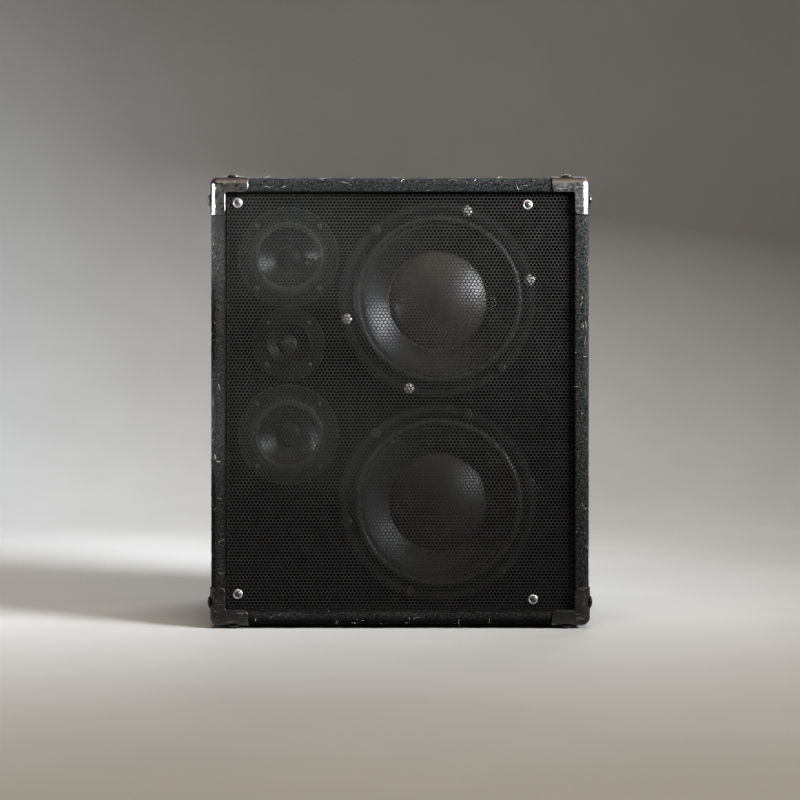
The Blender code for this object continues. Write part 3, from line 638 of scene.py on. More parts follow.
# ---------------------------------------------------------------- sweeps round a rounded rectangle


def frame_path(sides, arc_steps):
    """Places round a rectangle, as rows of the shares of u and v and the normal's u and v. sides lists the
    shares along the top, left, bottom and right, in walking order."""
    places = []
    for quarter, (su, sv) in enumerate(((1, 1), (-1, 1), (-1, -1), (1, -1))):
        for step in range(arc_steps):
            turn = TURN / 4 * (quarter + step / arc_steps)
            places.append((su, sv, math.cos(turn), math.sin(turn)))
        if quarter % 2:
            places += [(su, share, su, 0) for share in sides[quarter]]
        else:
            places += [(share, sv, 0, sv) for share in sides[quarter]]
    return np.array(places, dtype=float)


def even_shares(length, step):
    """Shares from -1 to just under 1, along a side of that length."""
    count = max(1, round(length / step))
    return [-1 + 2 * i / count for i in range(count)]


def even_path(half_u, half_v, step, arc_steps):
    """A path with even steps on each side. The top and bottom have as many as the height asks for, and the
    other two as many as the width does."""
    by_height, by_width = even_shares(2 * half_v, step), even_shares(2 * half_u, step)
    return frame_path([[-s for s in by_height], [-s for s in by_width], by_height, by_width], arc_steps)


def ring_points(path, half_u, half_v, radius):
    """Points of one ring round a rounded rectangle."""
    u = path[:, 0] * (half_u - radius) + path[:, 2] * radius
    v = path[:, 1] * (half_v - radius) + path[:, 3] * radius
    return u, v


def sweep(name, path, profile, place, closed=True, skip=None):
    """Sweeps profile, a list of (half u, half v, radius, depth), round the path. place turns u, v and depth
    into points. An open sweep is capped at both ends. skip(ring, step) leaves faces out."""
    rings = []
    for half_u, half_v, radius, depth in profile:
        u, v = ring_points(path, half_u, half_v, radius)
        rings.append(place(u, v, np.full(len(path), depth)))
    count, steps = len(profile), len(path)
    ring, step = np.meshgrid(np.arange(count if closed else count - 1), np.arange(steps), indexing="ij")
    here, there = ring * steps, (ring + 1) % count * steps
    after = (step + 1) % steps
    quads = np.stack([here + step, here + after, there + after, there + step], axis=-1)
    if skip is not None:
        quads = quads[~skip(ring, step)]
    faces = [quads.reshape(-1, 4)]
    if not closed:
        faces.append(np.arange(steps)[::-1].reshape(1, -1))
        faces.append(((count - 1) * steps + np.arange(steps)).reshape(1, -1))
    return mesh_of(name, np.concatenate(rings), faces)


def on_front(u, v, depth):
    return np.stack([u, depth, MIDDLE + v], axis=-1)


# ---------------------------------------------------------------- camera, light and stage


def make_camera():
    """Level and square to the grille, as far off as the drivers' shift behind the grille says."""
    distance = 2.3
    picture_width = 1.042
    data = bpy.data.cameras.new("camera")
    data.lens = data.sensor_width * distance / picture_width
    camera = bpy.data.objects.new("camera", data)
    camera.location = (0.0, FRONT - distance, MIDDLE + 1.5 * MM)
    camera.rotation_euler = (math.pi / 2, 0, 0)
    bpy.context.scene.collection.objects.link(camera)
    bpy.context.scene.camera = camera


def make_light(name, at, size, power, colour, target, spread=180):
    data = bpy.data.lights.new(name, "AREA")
    data.shape = "RECTANGLE"
    data.size, data.size_y = size
    data.energy = power
    data.color = colour
    data.spread = math.radians(spread)
    light = bpy.data.objects.new(name, data)
    light.location = at
    light.rotation_euler = (Vector(target) - Vector(at)).to_track_quat("-Z", "Y").to_euler()
    bpy.context.scene.collection.objects.link(light)


def make_lights():
    """A wide cool light on the right, a warm one overhead, and small ones on the left for the mids' cones."""
    cool, warm = (0.90, 0.95, 1.0), (1.0, 0.85, 0.66)
    make_light("right_softbox", (1.98, -1.25, 1.38), (1.4, 0.9), 48, cool, (0.3, -0.2, 0.95), 45)
    for level, power in zip(LEVELS, (0.30, 0.18)):
        at = centre_of(f"mid_{level}_frame") + Vector((0.05, 0, 0))
        make_light(f"kicker_{level}", (-2.0, -1.0, at.z + 0.32), (0.12, 0.12), power, cool, at, 3)
    make_light("top_softbox", (0.05, -1.25, 2.0), (1.6, 1.0), 25, warm, (0.0, -0.1, 0.5))
    make_light("rear_softbox", (0.3, 1.9, 1.9), (1.8, 1.2), 40, (1.0, 0.98, 0.95), (0.0, 0.0, 0.3))
    world = bpy.data.worlds.new("studio")
    world.use_nodes = True
    world.node_tree.nodes["Background"].inputs["Color"].default_value = (0.95, 0.93, 0.90, 1)
    world.node_tree.nodes["Background"].inputs["Strength"].default_value = 0.05
    bpy.context.scene.world = world
    bpy.context.scene.view_settings.view_transform = "Standard"
    bpy.context.scene.view_settings.look = "None"


def make_stage():
    """A pale floor that sweeps up into a backdrop."""
    half, start, radius, height = 4.0, 1.6, 1.2, 3.5
    section = [(-6.0, 0.0), (start, 0.0)]
    for step in range(1, 17):
        turn = TURN / 4 * step / 16
        section.append((start + radius * math.sin(turn), radius * (1 - math.cos(turn))))
    section.append((start + radius, height))
    vertices = [(x, y, z) for y, z in section for x in (-half, half)]
    faces = [(2 * i, 2 * i + 1, 2 * i + 3, 2 * i + 2) for i in range(len(section) - 1)]
    mesh = bpy.data.meshes.new("stage")
    mesh.from_pydata(vertices, [], faces)
    mesh.shade_smooth()
    f = Finish("stage", 0.9)
    f.colour(f.ramp(f.noise(3, 3), [(0.3, 0.50), (0.7, 0.54)]))
    mesh.materials.append(f.material)
    stage = bpy.data.objects.new("stage", mesh)
    bpy.context.scene.collection.objects.link(stage)


# ---------------------------------------------------------------- carpet

LIP_INSET = 20 * MM
PANEL_INSET = 18 * MM
HANDLE_Z = centre_of("handle_left_dish").z
HANDLE_CUT = (75 * MM, 50 * MM)
NAP = 0.55 * MM


def carpet_path(step):
    """The path round the four sides, with lines on the edges of the handle cuts."""
    flat_v = HALF_H - EDGE_RADIUS
    cuts = [(HANDLE_Z + side * HANDLE_CUT[1] - MIDDLE) / flat_v for side in (-1, 1)]
    marks = [-1.0, *cuts, 1.0]
    up = []
    for a, b in zip(marks, marks[1:]):
        count = round((b - a) * flat_v / step)
        up += [a + (b - a) * i / count for i in range(count)]
    down = [*up[1:], 1.0][::-1]
    across = even_shares(2 * (HALF_W - EDGE_RADIUS), step)
    return frame_path([[-s for s in across], down, across, up], 6)


def inset(t, y):
    """A profile entry at a distance t inside the carpet's outer faces."""
    radius = max(EDGE_RADIUS - t, 0.5 * MM)
    return (HALF_W - t, HALF_H - t, radius, y)


def line(a, b, step):
    """Entries (t, y) from a up to but without b."""
    length = math.dist(a, b)
    count = max(1, round(length / step))
    return [(a[0] + (b[0] - a[0]) * i / count, a[1] + (b[1] - a[1]) * i / count) for i in range(count)]


def arc(centre, radius, start, end, steps, ended=0):
    """Points round centre, with angles in quarter turns. The last one is left out unless ended is 1."""
    turns = (TURN / 4 * (start + (end - start) * i / steps) for i in range(steps + ended))
    return [(centre[0] + radius * math.cos(a), centre[1] + radius * math.sin(a)) for a in turns]


def carpet_skin(name, mesh, outer, finish, node):
    """Roughens the vertices that outer marks by a matted nap of three sizes, and makes the piece."""
    co, normals = vertex_arrays(mesh)
    nap = 0.5 * lattice_noise(co, 2.2 * MM, 1) + 0.35 * lattice_noise(co, 6 * MM, 2)
    nap += 0.35 * lattice_noise(co, 25 * MM, 3) - 0.5
    co += normals * (NAP * nap * outer)[:, None]
    mesh.vertices.foreach_set("co", co.ravel())
    mesh.update()
    mesh.shade_smooth()
    return piece(name, mesh, finish, replaces=(node,), sharp=None)


def make_carpet():
    seam = FRONT + EDGE_RADIUS
    inner = CARPET - CLEAR
    deep = BAFFLE_FRONT - CLEAR
    path = carpet_path(2.9 * MM)
    front = line((LIP_INSET, deep), (LIP_INSET, FRONT + 1.5 * MM), 1.5 * MM)
    front += arc((LIP_INSET - 1.5 * MM, FRONT + 1.5 * MM), 1.5 * MM, 0, -1, 3)
    front += line((LIP_INSET - 1.5 * MM, FRONT), (EDGE_RADIUS, FRONT), 1.5 * MM)
    front += arc((EDGE_RADIUS, seam), EDGE_RADIUS, -1, -2, 10) + [(0.0, seam)]
    shown = len(front)
    front += arc((EDGE_RADIUS, seam), EDGE_RADIUS - inner, -2, -1, 4)
    wall = PANEL_INSET + CLEAR
    front += [(EDGE_RADIUS, FRONT + inner), (wall, FRONT + inner), (wall, deep)]
    mesh = outward(sweep("carpet_front_edge", path, [inset(*p) for p in front], on_front))
    outer = np.repeat(np.arange(len(front)) < shown, len(path))
    front_edge = carpet_skin("carpet_front_edge", mesh, outer, "carpet_edge", "carpet_wrap")

    rear_seam = REAR - EDGE_RADIUS
    cut = HANDLE_CUT[0]
    marks = (seam, -cut, cut, rear_seam)
    sides = []
    for a, b in zip(marks, marks[1:]):
        sides += line((0.0, a), (0.0, b), 3.3 * MM)
    sides += arc((EDGE_RADIUS, rear_seam), EDGE_RADIUS, 2, 1, 5)
    sides += line((EDGE_RADIUS, REAR), (PANEL_INSET, REAR), 2.5 * MM) + [(PANEL_INSET, REAR)]
    sides += [(PANEL_INSET, REAR - inner)]
    sides += arc((EDGE_RADIUS, rear_seam), EDGE_RADIUS - inner, 1, 2, 4)
    sides += [(inner, rear_seam), (inner, cut), (inner, -cut), (inner, seam)]
    ys = np.array([y for _, y in sides])
    nexts = np.roll(ys, -1)
    in_cut_rings = (np.minimum(ys, nexts) > -cut - 1e-6) & (np.maximum(ys, nexts) < cut + 1e-6)
    z = MIDDLE + path[:, 1] * (HALF_H - EDGE_RADIUS)
    z_next = np.roll(z, -1)
    level = np.abs(path[:, 2]) > 0.999
    level &= np.abs(np.roll(path[:, 2], -1)) > 0.999
    low, high = HANDLE_Z - HANDLE_CUT[1] - 1e-6, HANDLE_Z + HANDLE_CUT[1] + 1e-6
    in_cut_steps = level & (np.minimum(z, z_next) > low) & (np.maximum(z, z_next) < high)

    def in_cut(ring, step):
        return in_cut_rings[ring] & in_cut_steps[step]

    mesh = close_cuts(sweep("carpet_sides", path, [inset(*p) for p in sides], on_front, skip=in_cut))
    outer = outside_at(vertex_arrays(mesh)[0])
    return front_edge, carpet_skin("carpet_sides", mesh, outer, "carpet", "carpet_wrap")


def close_cuts(mesh):
    """Joins the outer and inner edges of each handle cut with walls, and drops the loose vertices in it."""
    bm = solid_of(mesh)
    bmesh.ops.delete(bm, geom=[v for v in bm.verts if not v.link_faces], context="VERTS")
    for side in (-1, 1):
        rim = [e for e in bm.edges if e.is_boundary and side * e.verts[0].co.x > 0]
        bmesh.ops.bridge_loops(bm, edges=rim)
    bmesh.ops.recalc_face_normals(bm, faces=bm.faces)
    return pour(bm, mesh)


def in_handle(co):
    """True at points under a handle's flange."""
    near = 12 * MM
    return (np.abs(co[:, 1]) < HANDLE_CUT[0] + near) & (np.abs(co[:, 2] - HANDLE_Z) < HANDLE_CUT[1] + near)


def in_corner(co):
    """True at points under or beside a metal corner."""
    near = CORNER_LEG + 4 * MM
    depths = [HALF_W - np.abs(co[:, 0]), HALF_H - np.abs(co[:, 2] - MIDDLE), REAR - np.abs(co[:, 1])]
    return sum((depth < near).astype(int) for depth in depths) == 3


def inset_at(co):
    """How far in from the four sides each point is."""
    return np.minimum(HALF_W - np.abs(co[:, 0]), HALF_H - np.abs(co[:, 2] - MIDDLE))


def outside_at(co):
    """1 at points on the carpet's outer faces and 0 at those behind them."""
    depth = np.minimum(inset_at(co), REAR - co[:, 1])
    rounded = (REAR - co[:, 1] < EDGE_RADIUS) & (depth < EDGE_RADIUS)
    return np.where(rounded, depth < 0.32 * EDGE_RADIUS, depth < 0.5 * MM).astype(float)


def on_front_edge(co, normals):
    shown = (normals[:, 1] < 0.2) & (co[:, 1] < FRONT + 11 * MM)
    return shown & (inset_at(co) < 14 * MM) & ~in_corner(co)


def on_sides(co, normals):
    return (outside_at(co) > 0) & (co[:, 2] > CASE_LO.z + 12 * MM) & ~in_handle(co) & ~in_corner(co)


def strands(name, bases, normals, lengths, radius, lean, segments, curl, finish, seed):
    """Thin tapered fibres lying on a surface: a closed three-sided tube at each base, curling as it goes."""
    random = np.random.default_rng(seed)
    count = len(bases)

    def unit(v):
        return v / np.linalg.norm(v, axis=1, keepdims=True)

    heading = random.normal(size=(count, 3))
    heading = unit(heading - (heading * normals).sum(1, keepdims=True) * normals)
    direction = unit(heading + normals * random.uniform(*lean, (count, 1)))
    across = np.cross(normals, heading)
    turn = across * random.normal(0, curl, (count, 1)) - normals * random.uniform(0, 0.5 * curl, (count, 1))
    at = bases - 0.35 * MM * normals
    rings = []
    step = (lengths / segments)[:, None]
    for ring in range(segments + 1):
        u = unit(np.cross(direction, across + 1e-3 * normals))
        w = np.cross(direction, u)
        if ring == segments:
            rings.append(at[:, None, :])
            break
        width = radius * (1 - 0.5 * ring / segments)
        turns = [TURN * k / 3 for k in range(3)]
        rings.append(np.stack([at + width * (u * math.cos(t) + w * math.sin(t)) for t in turns], axis=1))
        at = at + direction * step
        direction = unit(direction + turn * 2 / segments)
    vertices = np.concatenate(rings, axis=1)
    each = vertices.shape[1]
    start = (np.arange(count) * each)[:, None]
    quads, tip = [], each - 1
    for ring in range(segments - 1):
        for k in range(3):
            j = (k + 1) % 3
            quads.append(start + np.array([3 * ring + k, 3 * ring + j, 3 * ring + 3 + j, 3 * ring + 3 + k]))
    last = 3 * (segments - 1)
    triangles = [start + np.array([0, 2, 1])]
    triangles += [start + np.array([last + k, last + (k + 1) % 3, tip]) for k in range(3)]
    mesh = mesh_of(name, vertices.reshape(-1, 3), [np.concatenate(quads), np.concatenate(triangles)])
    return piece(name, mesh, finish, sharp=None)


def make_fuzz(skin, count, hairs, seed, chosen):
    """Fibres and a few pale hairs standing on a carpet piece, at vertices that chosen keeps."""
    co, normals = vertex_arrays(skin.data)
    keep = np.flatnonzero(chosen(co, normals))
    random = np.random.default_rng(seed)
    for kind, number, length, radius, lean, segments, curl, finish in (
        ("fuzz", count, (1.6, 4.2), 0.085, (0.05, 0.8), 2, 0.7, "fuzz"),
        ("hairs", hairs, (4.0, 13.0), 0.15, (0.05, 0.35), 6, 0.35, "lint"),
        ("tufts", hairs // 5, (3.0, 7.0), 0.42, (0.02, 0.15), 5, 0.9, "lint"),
    ):
        picked = random.choice(keep, number)
        jitter = random.normal(0, 0.9 * MM, (number, 3))
        jitter -= (jitter * normals[picked]).sum(1, keepdims=True) * normals[picked]
        lengths = random.uniform(*length, number) * MM
        bases, shape = co[picked] + jitter, (lengths, radius * MM, lean, segments, curl)
        strands(f"{skin.name}_{kind}", bases, normals[picked], *shape, finish, seed + 1)


# ---------------------------------------------------------------- grille

HOLE_PITCH = 4.7625 * MM
ROW_PITCH = HOLE_PITCH * math.sqrt(3) / 2
HOLE_RADIUS = 1.9 * MM
HOLE_ROWS = 131
HOLES_IN_ROW = 95
GRILLE_STRIPS = 6
GRILLE_LO, GRILLE_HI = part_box("grille")
GRILLE_SHEET = 0.7 * MM
RIM_SHEET = 0.9 * MM


def grille_strip(number, first, last):
    """Rows first to last of the staggered holes, as a solid sheet. Each hole sits in a hexagonal cell."""
    edge_x = GRILLE_HI.x - RIM_SHEET
    edge_z = (GRILLE_HI.z - GRILLE_LO.z) / 2 - RIM_SHEET
    middle_row = (HOLE_ROWS - 1) / 2
    reach = HOLE_PITCH / math.sqrt(3)
    cell_turns = [TURN * (k + 0.5) / 6 for k in range(6)]
    cell = [(reach * math.cos(t), reach * math.sin(t)) for t in cell_turns]
    hole = circle(HOLE_RADIUS, 12, turn=TURN / 12)
    cell_points, hole_points, fillers = [], [], []
    for row in range(first, last):
        z = (row - middle_row) * ROW_PITCH
        short = row % 2
        count = HOLES_IN_ROW - short
        for column in range(count):
            x = (column - (count - 1) / 2) * HOLE_PITCH
            for cx, cz in cell:
                at = [x + cx, z + cz]
                if not short and column in (0, count - 1) and cx * x > 0 and abs(cx) > 1e-6:
                    at[0] = math.copysign(edge_x, x)
                if row == HOLE_ROWS - 1 and cz > 0 or row == 0 and cz < 0:
                    at[1] = math.copysign(edge_z, cz)
                cell_points.append(at)
            hole_points += [(x + hx, z + hz) for hx, hz in hole]
        if short:
            near = (HOLES_IN_ROW - 1) / 2 * HOLE_PITCH
            for side in (-1, 1):
                corners = [(near, -reach / 2), (edge_x, -reach), (edge_x, reach), (near, reach / 2)]
                fillers.append([(side * x, z + dz) for x, dz in corners][::side])
    holes = len(hole_points) // 12
    filler_points = [p for filler in fillers for p in filler]
    rim = np.array(cell_points + filler_points)
    whole, lookup = np.unique(np.round(rim / (0.01 * MM)).astype(np.int64), axis=0, return_inverse=True)
    flat_rim = np.zeros((len(whole), 2))
    flat_rim[lookup.ravel()] = rim
    lookup = lookup.ravel()
    points = np.concatenate([flat_rim, np.array(hole_points)])
    cells = lookup[: holes * 6].reshape(-1, 6)
    rings = len(flat_rim) + np.arange(holes * 12).reshape(-1, 12)
    triangles = []
    for k in range(6):
        h0, h1 = cells[:, k], cells[:, (k + 1) % 6]
        c0, c1, c2 = rings[:, 2 * k], rings[:, 2 * k + 1], rings[:, (2 * k + 2) % 12]
        triangles += [np.stack(t, axis=-1) for t in ((h0, h1, c1), (h0, c1, c0), (h1, c2, c1))]
    triangles = np.concatenate(triangles)
    quads = lookup[holes * 6 :].reshape(-1, 4)
    return solid_sheet(f"grille_sheet_{number}", points, triangles, quads)


def solid_sheet(name, points, triangles, quads):
    """A sheet with its front at the grille's front, made solid with walls along every open edge."""
    edges = np.concatenate(
        [triangles[:, [0, 1]], triangles[:, [1, 2]], triangles[:, [2, 0]]]
        + [quads[:, [i, (i + 1) % 4]] for i in range(4)]
    )
    size = len(points)
    forward = edges[:, 0].astype(np.int64) * size + edges[:, 1]
    backward = edges[:, 1].astype(np.int64) * size + edges[:, 0]
    open_edges = edges[~np.isin(forward, backward)]
    front = np.stack([points[:, 0], np.full(size, GRILLE_LO.y), MIDDLE + points[:, 1]], axis=-1)
    back = front + np.array([0, GRILLE_SHEET, 0])
    a, b = open_edges[:, 0], open_edges[:, 1]
    walls = np.stack([b, a, a + size, b + size], axis=-1)
    groups = [triangles, triangles[:, ::-1] + size, quads, quads[:, ::-1] + size, walls]
    return mesh_of(name, np.concatenate([front, back]), groups)


def make_grille():
    bounds = np.linspace(0, HOLE_ROWS, GRILLE_STRIPS + 1).round().astype(int)
    for number, (first, last) in enumerate(zip(bounds, bounds[1:]), 1):
        mesh = grille_strip(number, int(first), int(last))
        piece(mesh.name, mesh, "grille", replaces=("grille",), sharp=40)
    half_u = GRILLE_HI.x
    half_v = (GRILLE_HI.z - GRILLE_LO.z) / 2
    path = even_path(half_u, half_v, 20 * MM, 6)
    front, back = GRILLE_LO.y, GRILLE_HI.y
    profile = []
    for step in range(5):
        turn = TURN / 4 * step / 4
        t = RIM_SHEET * (1 - math.sin(turn))
        profile.append((t, front + RIM_SHEET * (1 - math.cos(turn))))
    profile += [(0.0, back), (RIM_SHEET, back), (RIM_SHEET, front + GRILLE_SHEET)]
    entries = [(half_u - t, half_v - t, max(3 * MM - t, 0.5 * MM), y) for t, y in profile]
    mesh = outward(sweep("grille_rim", path, entries, on_front))
    piece("grille_rim", mesh, "grille", replaces=("grille",))


# ---------------------------------------------------------------- screws and bolts


def cross_head(radius, height):
    """A pan-headed cross-recess screw head standing on z = 0."""
    dome = [(0, -0.6 * height), (0.45 * radius, -0.6 * height), (0.45 * radius, 0), (radius, 0)]
    for step in range(6):
        turn = TURN / 4 * step / 5
        dome.append((radius * math.cos(turn * 0.98), height * (0.25 + 0.75 * math.sin(turn))))
    dome.append((0, height))
    tools = []
    for size in ((0.62, 0.13), (0.13, 0.62)):
        x, y = size[0] * radius, size[1] * radius
        tools.append(("DIFFERENCE", block((-x, -y, 0.35 * height), (x, y, 2 * height))))
    return tooled("cross_head", solid_of(lathe("head", dome, 28)), tools)


def hex_head(across, height):
    """A hexagon head with chamfered corners on its flanged washer, standing on z = 0."""
    radius = across / math.sqrt(3)
    head = prism(circle(radius, 6), 0, height)
    wide = 1.02 * radius
    cone = [(0, -MM), (wide, -MM), (wide, 0.75 * height), (0.8 * radius, height), (0, height)]
    chamfer = solid_of(lathe("chamfer", cone, 36))
    wide, thick = 1.35 * radius, 0.9 * MM
    ring = [(0, -0.5 * MM), (wide, -0.5 * MM), (wide, 0.5 * MM), (1.1 * radius, thick), (0, thick)]
    washer = solid_of(lathe("washer", soften(ring, 0.2 * MM), 36))
    return tooled("hex_head", head, [("INTERSECT", chamfer), ("UNION", washer)])


CROSS_SMALL = cross_head(3.0 * MM, 1.5 * MM)
CROSS_LARGE = cross_head(3.9 * MM, 1.9 * MM)
HEX = hex_head(9.0 * MM, 4.0 * MM)


def merged(name, meshes):
    """One mesh of several, which are used up."""
    bm = bmesh.new()
    for mesh in meshes:
        bm.from_mesh(mesh)
        bpy.data.meshes.remove(mesh)
    return pour(bm, bpy.data.meshes.new(name))


def circle_spots(centre, radius, y, turns):
    """Points on a circle about the line along Y through centre."""
    return [(centre.x + radius * math.cos(t), y, centre.z + radius * math.sin(t)) for t in turns]


DIAGONALS = [TURN * (k + 0.5) / 4 for k in range(4)]


def screws(name, mesh, spots, axis, finish):
    """One piece of equal screw heads, at each spot and pointing along axis."""
    return piece(name, merged(name, [placed(mesh, spot, axis) for spot in spots]), finish, sharp=30)


def make_grille_screws():
    """Countersunk screws in cup washers."""
    cup = [(2.6, -0.4), (6.5, -0.1), (6.7, 0.4), (6.2, 1.1), (5.2, 1.6), (4.4, 1.5), (3.7, 0.7), (2.6, 0.5)]
    washer = lathe("cup_washer", in_mm(soften(cup, 0.25)), 48)
    for name in ("top_left", "top_right", "bottom_left", "bottom_right"):
        node = f"grille_screw_{name}"
        at = centre_of(node)
        parts = (("washer", washer, 0.15, "zinc", 35), ("head", CROSS_LARGE, 0.9, "screw", 30))
        for part, mesh, ahead, finish, sharp in parts:
            mesh = placed(mesh, (at.x, GRILLE_LO.y - ahead * MM, at.z), TOWARDS_FRONT)
            piece(f"{node}_{part}", mesh, finish, replaces=(node,), sharp=sharp)


# ---------------------------------------------------------------- metal corners

CORNER_LEG = 50.8 * MM
CORNER_WIDTH = 21 * MM
CORNER_SHEET = 1.2 * MM
CORNER_END_RADIUS = 6.5 * MM
CORNER_INNER_RADIUS = 3 * MM
CORNER_OUTER = EDGE_RADIUS + CLEAR + CORNER_SHEET
BOSS_AT = 31 * MM
BOSS_IN = 11.5 * MM
BOSS_RADIUS = 7 * MM
BOSS_HEIGHT = 2.5 * MM


def corner_waste():
    """What is cut from one face to leave an L with rounded arm ends and a rounded inner corner."""
    leg, width, end, inner = CORNER_LEG, CORNER_WIDTH, CORNER_END_RADIUS, CORNER_INNER_RADIUS
    far = 2 * leg
    outline = [(far, width - end), (leg, width - end)]
    outline += arc((leg - end, width - end), end, 0, 1, 6, 1)[1:]
    outline += arc((width + inner, width + inner), inner, 3, 2, 6, 1)
    outline += arc((width - end, leg - end), end, 0, 1, 6, 1)
    outline += [(width - end, far), (far, far)]
    return outline


def corner_mesh():
    """The protector for the corner at the lowest x, y and z, with its outer vertex at the origin."""
    reach = CORNER_LEG + 2 * CORNER_OUTER
    shell = block((0, 0, 0), (reach,) * 3, CORNER_OUTER, 9)
    tools = []
    for axis in (0, 2):
        along = 2 - axis
        spot = Vector((0, BOSS_IN, 0))
        spot[along] = BOSS_AT
        height, radius = BOSS_HEIGHT, BOSS_RADIUS
        dome = [(0, -0.5 * MM), (radius + 1.2 * MM, -0.5 * MM), (radius + 1.2 * MM, 0.1 * MM)]
        dome += [(radius, 0.45 * height), (0.86 * radius, 0.85 * height), (0.7 * radius, height)]
        dome += [(0.52 * radius, height), (0.46 * radius, 0.72 * height), (0, 0.72 * height)]
        direction = Vector((0, 0, 0))
        direction[axis] = -1
        boss = placed(lathe("boss", soften(dome, 0.5 * MM), 40), spot, direction)
        tools.append(("UNION", solid_of(boss)))
    inner = block((CORNER_SHEET,) * 3, (2 * reach,) * 3, CORNER_OUTER - CORNER_SHEET, 9)
    tools.append(("DIFFERENCE", inner))
    for axis in range(3):
        tools.append(("DIFFERENCE", prism(corner_waste(), -3 * MM, EDGE_RADIUS / 2, axis)))
        lo = [-reach] * 3
        lo[axis] = CORNER_LEG
        tools.append(("DIFFERENCE", block(lo, (3 * reach,) * 3)))
    return rolled_rim(tooled("corner_shape", shell, tools))


def rolled_rim(mesh):
    """Marks the sharp edges on the protector's outer side for the bevel that rolls them over."""
    bm = solid_of(mesh)
    weight = bm.edges.layers.float.new("bevel_weight_edge")

    def depth(v):
        return CORNER_OUTER - Vector(max(CORNER_OUTER - c, 0) for c in v.co).length

    for e in bm.edges:
        if len(e.link_faces) == 2 and e.calc_face_angle() > math.radians(50):
            if all(abs(depth(v)) < 0.06 * MM for v in e.verts):
                e[weight] = 1.0
    return pour(bm, mesh)


def make_corners():
    shape = corner_mesh()
    offset = CLEAR + CORNER_SHEET
    for end, sy in (("front", -1), ("rear", 1)):
        for level, sz in (("bottom", -1), ("top", 1)):
            for side, sx in (("left", -1), ("right", 1)):
                node = f"corner_{end}_{level}_{side}"
                vertex = Vector((sx * (HALF_W + offset), (FRONT, REAR)[sy > 0] + sy * offset, 0))
                vertex.z = MIDDLE + sz * (HALF_H + offset)
                mesh = shape.copy()
                mesh.transform(Matrix.Translation(vertex) @ Matrix.Diagonal((-sx, -sy, -sz, 1)))
                outward(mesh)
                # The bottom corners get the darker nickel, which is painted shade.
                finish = "nickel" if level == "top" else "shaded_nickel"
                shell = piece(f"{node}_shell", mesh, finish, replaces=(node,), sharp=30)
                edge = shell.modifiers.new("edge", "BEVEL")
                edge.width = 0.95 * MM
                edge.segments = 3
                edge.limit_method = "WEIGHT"
                edge.use_clamp_overlap = False
                shell.modifiers.new("shading", "WEIGHTED_NORMAL").keep_sharp = True
                in_y = vertex.y - sy * BOSS_IN
                top = (vertex.x - sx * BOSS_AT, in_y, vertex.z + sz * 0.7 * BOSS_HEIGHT)
                flank = (vertex.x + sx * 0.7 * BOSS_HEIGHT, in_y, vertex.z - sz * BOSS_AT)
                screws(f"{node}_screw_a", CROSS_SMALL, [top], (0, 0, sz), "black_bolt")
                screws(f"{node}_screw_b", CROSS_SMALL, [flank], (sx, 0, 0), "black_bolt")


# ---------------------------------------------------------------- woofers


def wedge_ring(prefix, profile, centre, wedges):
    """A driver's surround, turned and cut into equal wedges."""
    count, steps = len(profile), 6
    for k in range(wedges):
        turns = [TURN * (k + i / steps) / wedges for i in range(steps + 1)]
        vertices = []
        for t in turns:
            vertices += [(centre.x + r * math.cos(t), y, centre.z + r * math.sin(t)) for r, y in profile]
        a = np.arange(steps)[:, None] * count + np.arange(count)[None, :]
        b = np.arange(steps)[:, None] * count + np.roll(np.arange(count), -1)[None, :]
        quads = np.stack([a, b, b + count, a + count], axis=-1).reshape(-1, 4)
        ends = [np.arange(count)[::-1].reshape(1, -1), (steps * count + np.arange(count)).reshape(1, -1)]
        mesh = outward(mesh_of(f"{prefix}_surround_part_{k + 1:02d}", np.array(vertices), [quads, *ends]))
        wedge = piece(mesh.name, mesh, "surround", None, (f"{prefix}_surround",), sharp=50)
        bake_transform(wedge)


def half_roll(inner, outer, rise, thickness, lip_in, lip_out, steps=10):
    """A closed outline in millimetres: a roll that bulges towards -y, with a flat lip on each side."""
    middle, reach = (inner + outer) / 2, (outer - inner) / 2
    turns = [math.pi * i / steps for i in range(steps + 1)]
    front = [(middle - reach * math.cos(t), -rise * math.sin(t)) for t in turns]
    back = []
    for t in reversed(turns):
        shrink = 1 - thickness / reach * math.sin(t)
        back.append((middle - reach * shrink * math.cos(t), thickness - rise * math.sin(t)))
    inside, outside = inner - lip_in, outer + lip_out
    return [(inside, 0.3), *front, (outside, 0.0), (outside, thickness), *back, (inside, thickness + 0.3)]


PAPERS = {"upper": "paper", "lower": "paper_lower"}
BRIGHT_BOLTS = {"upper": (12, 72, 192, 252), "lower": ()}


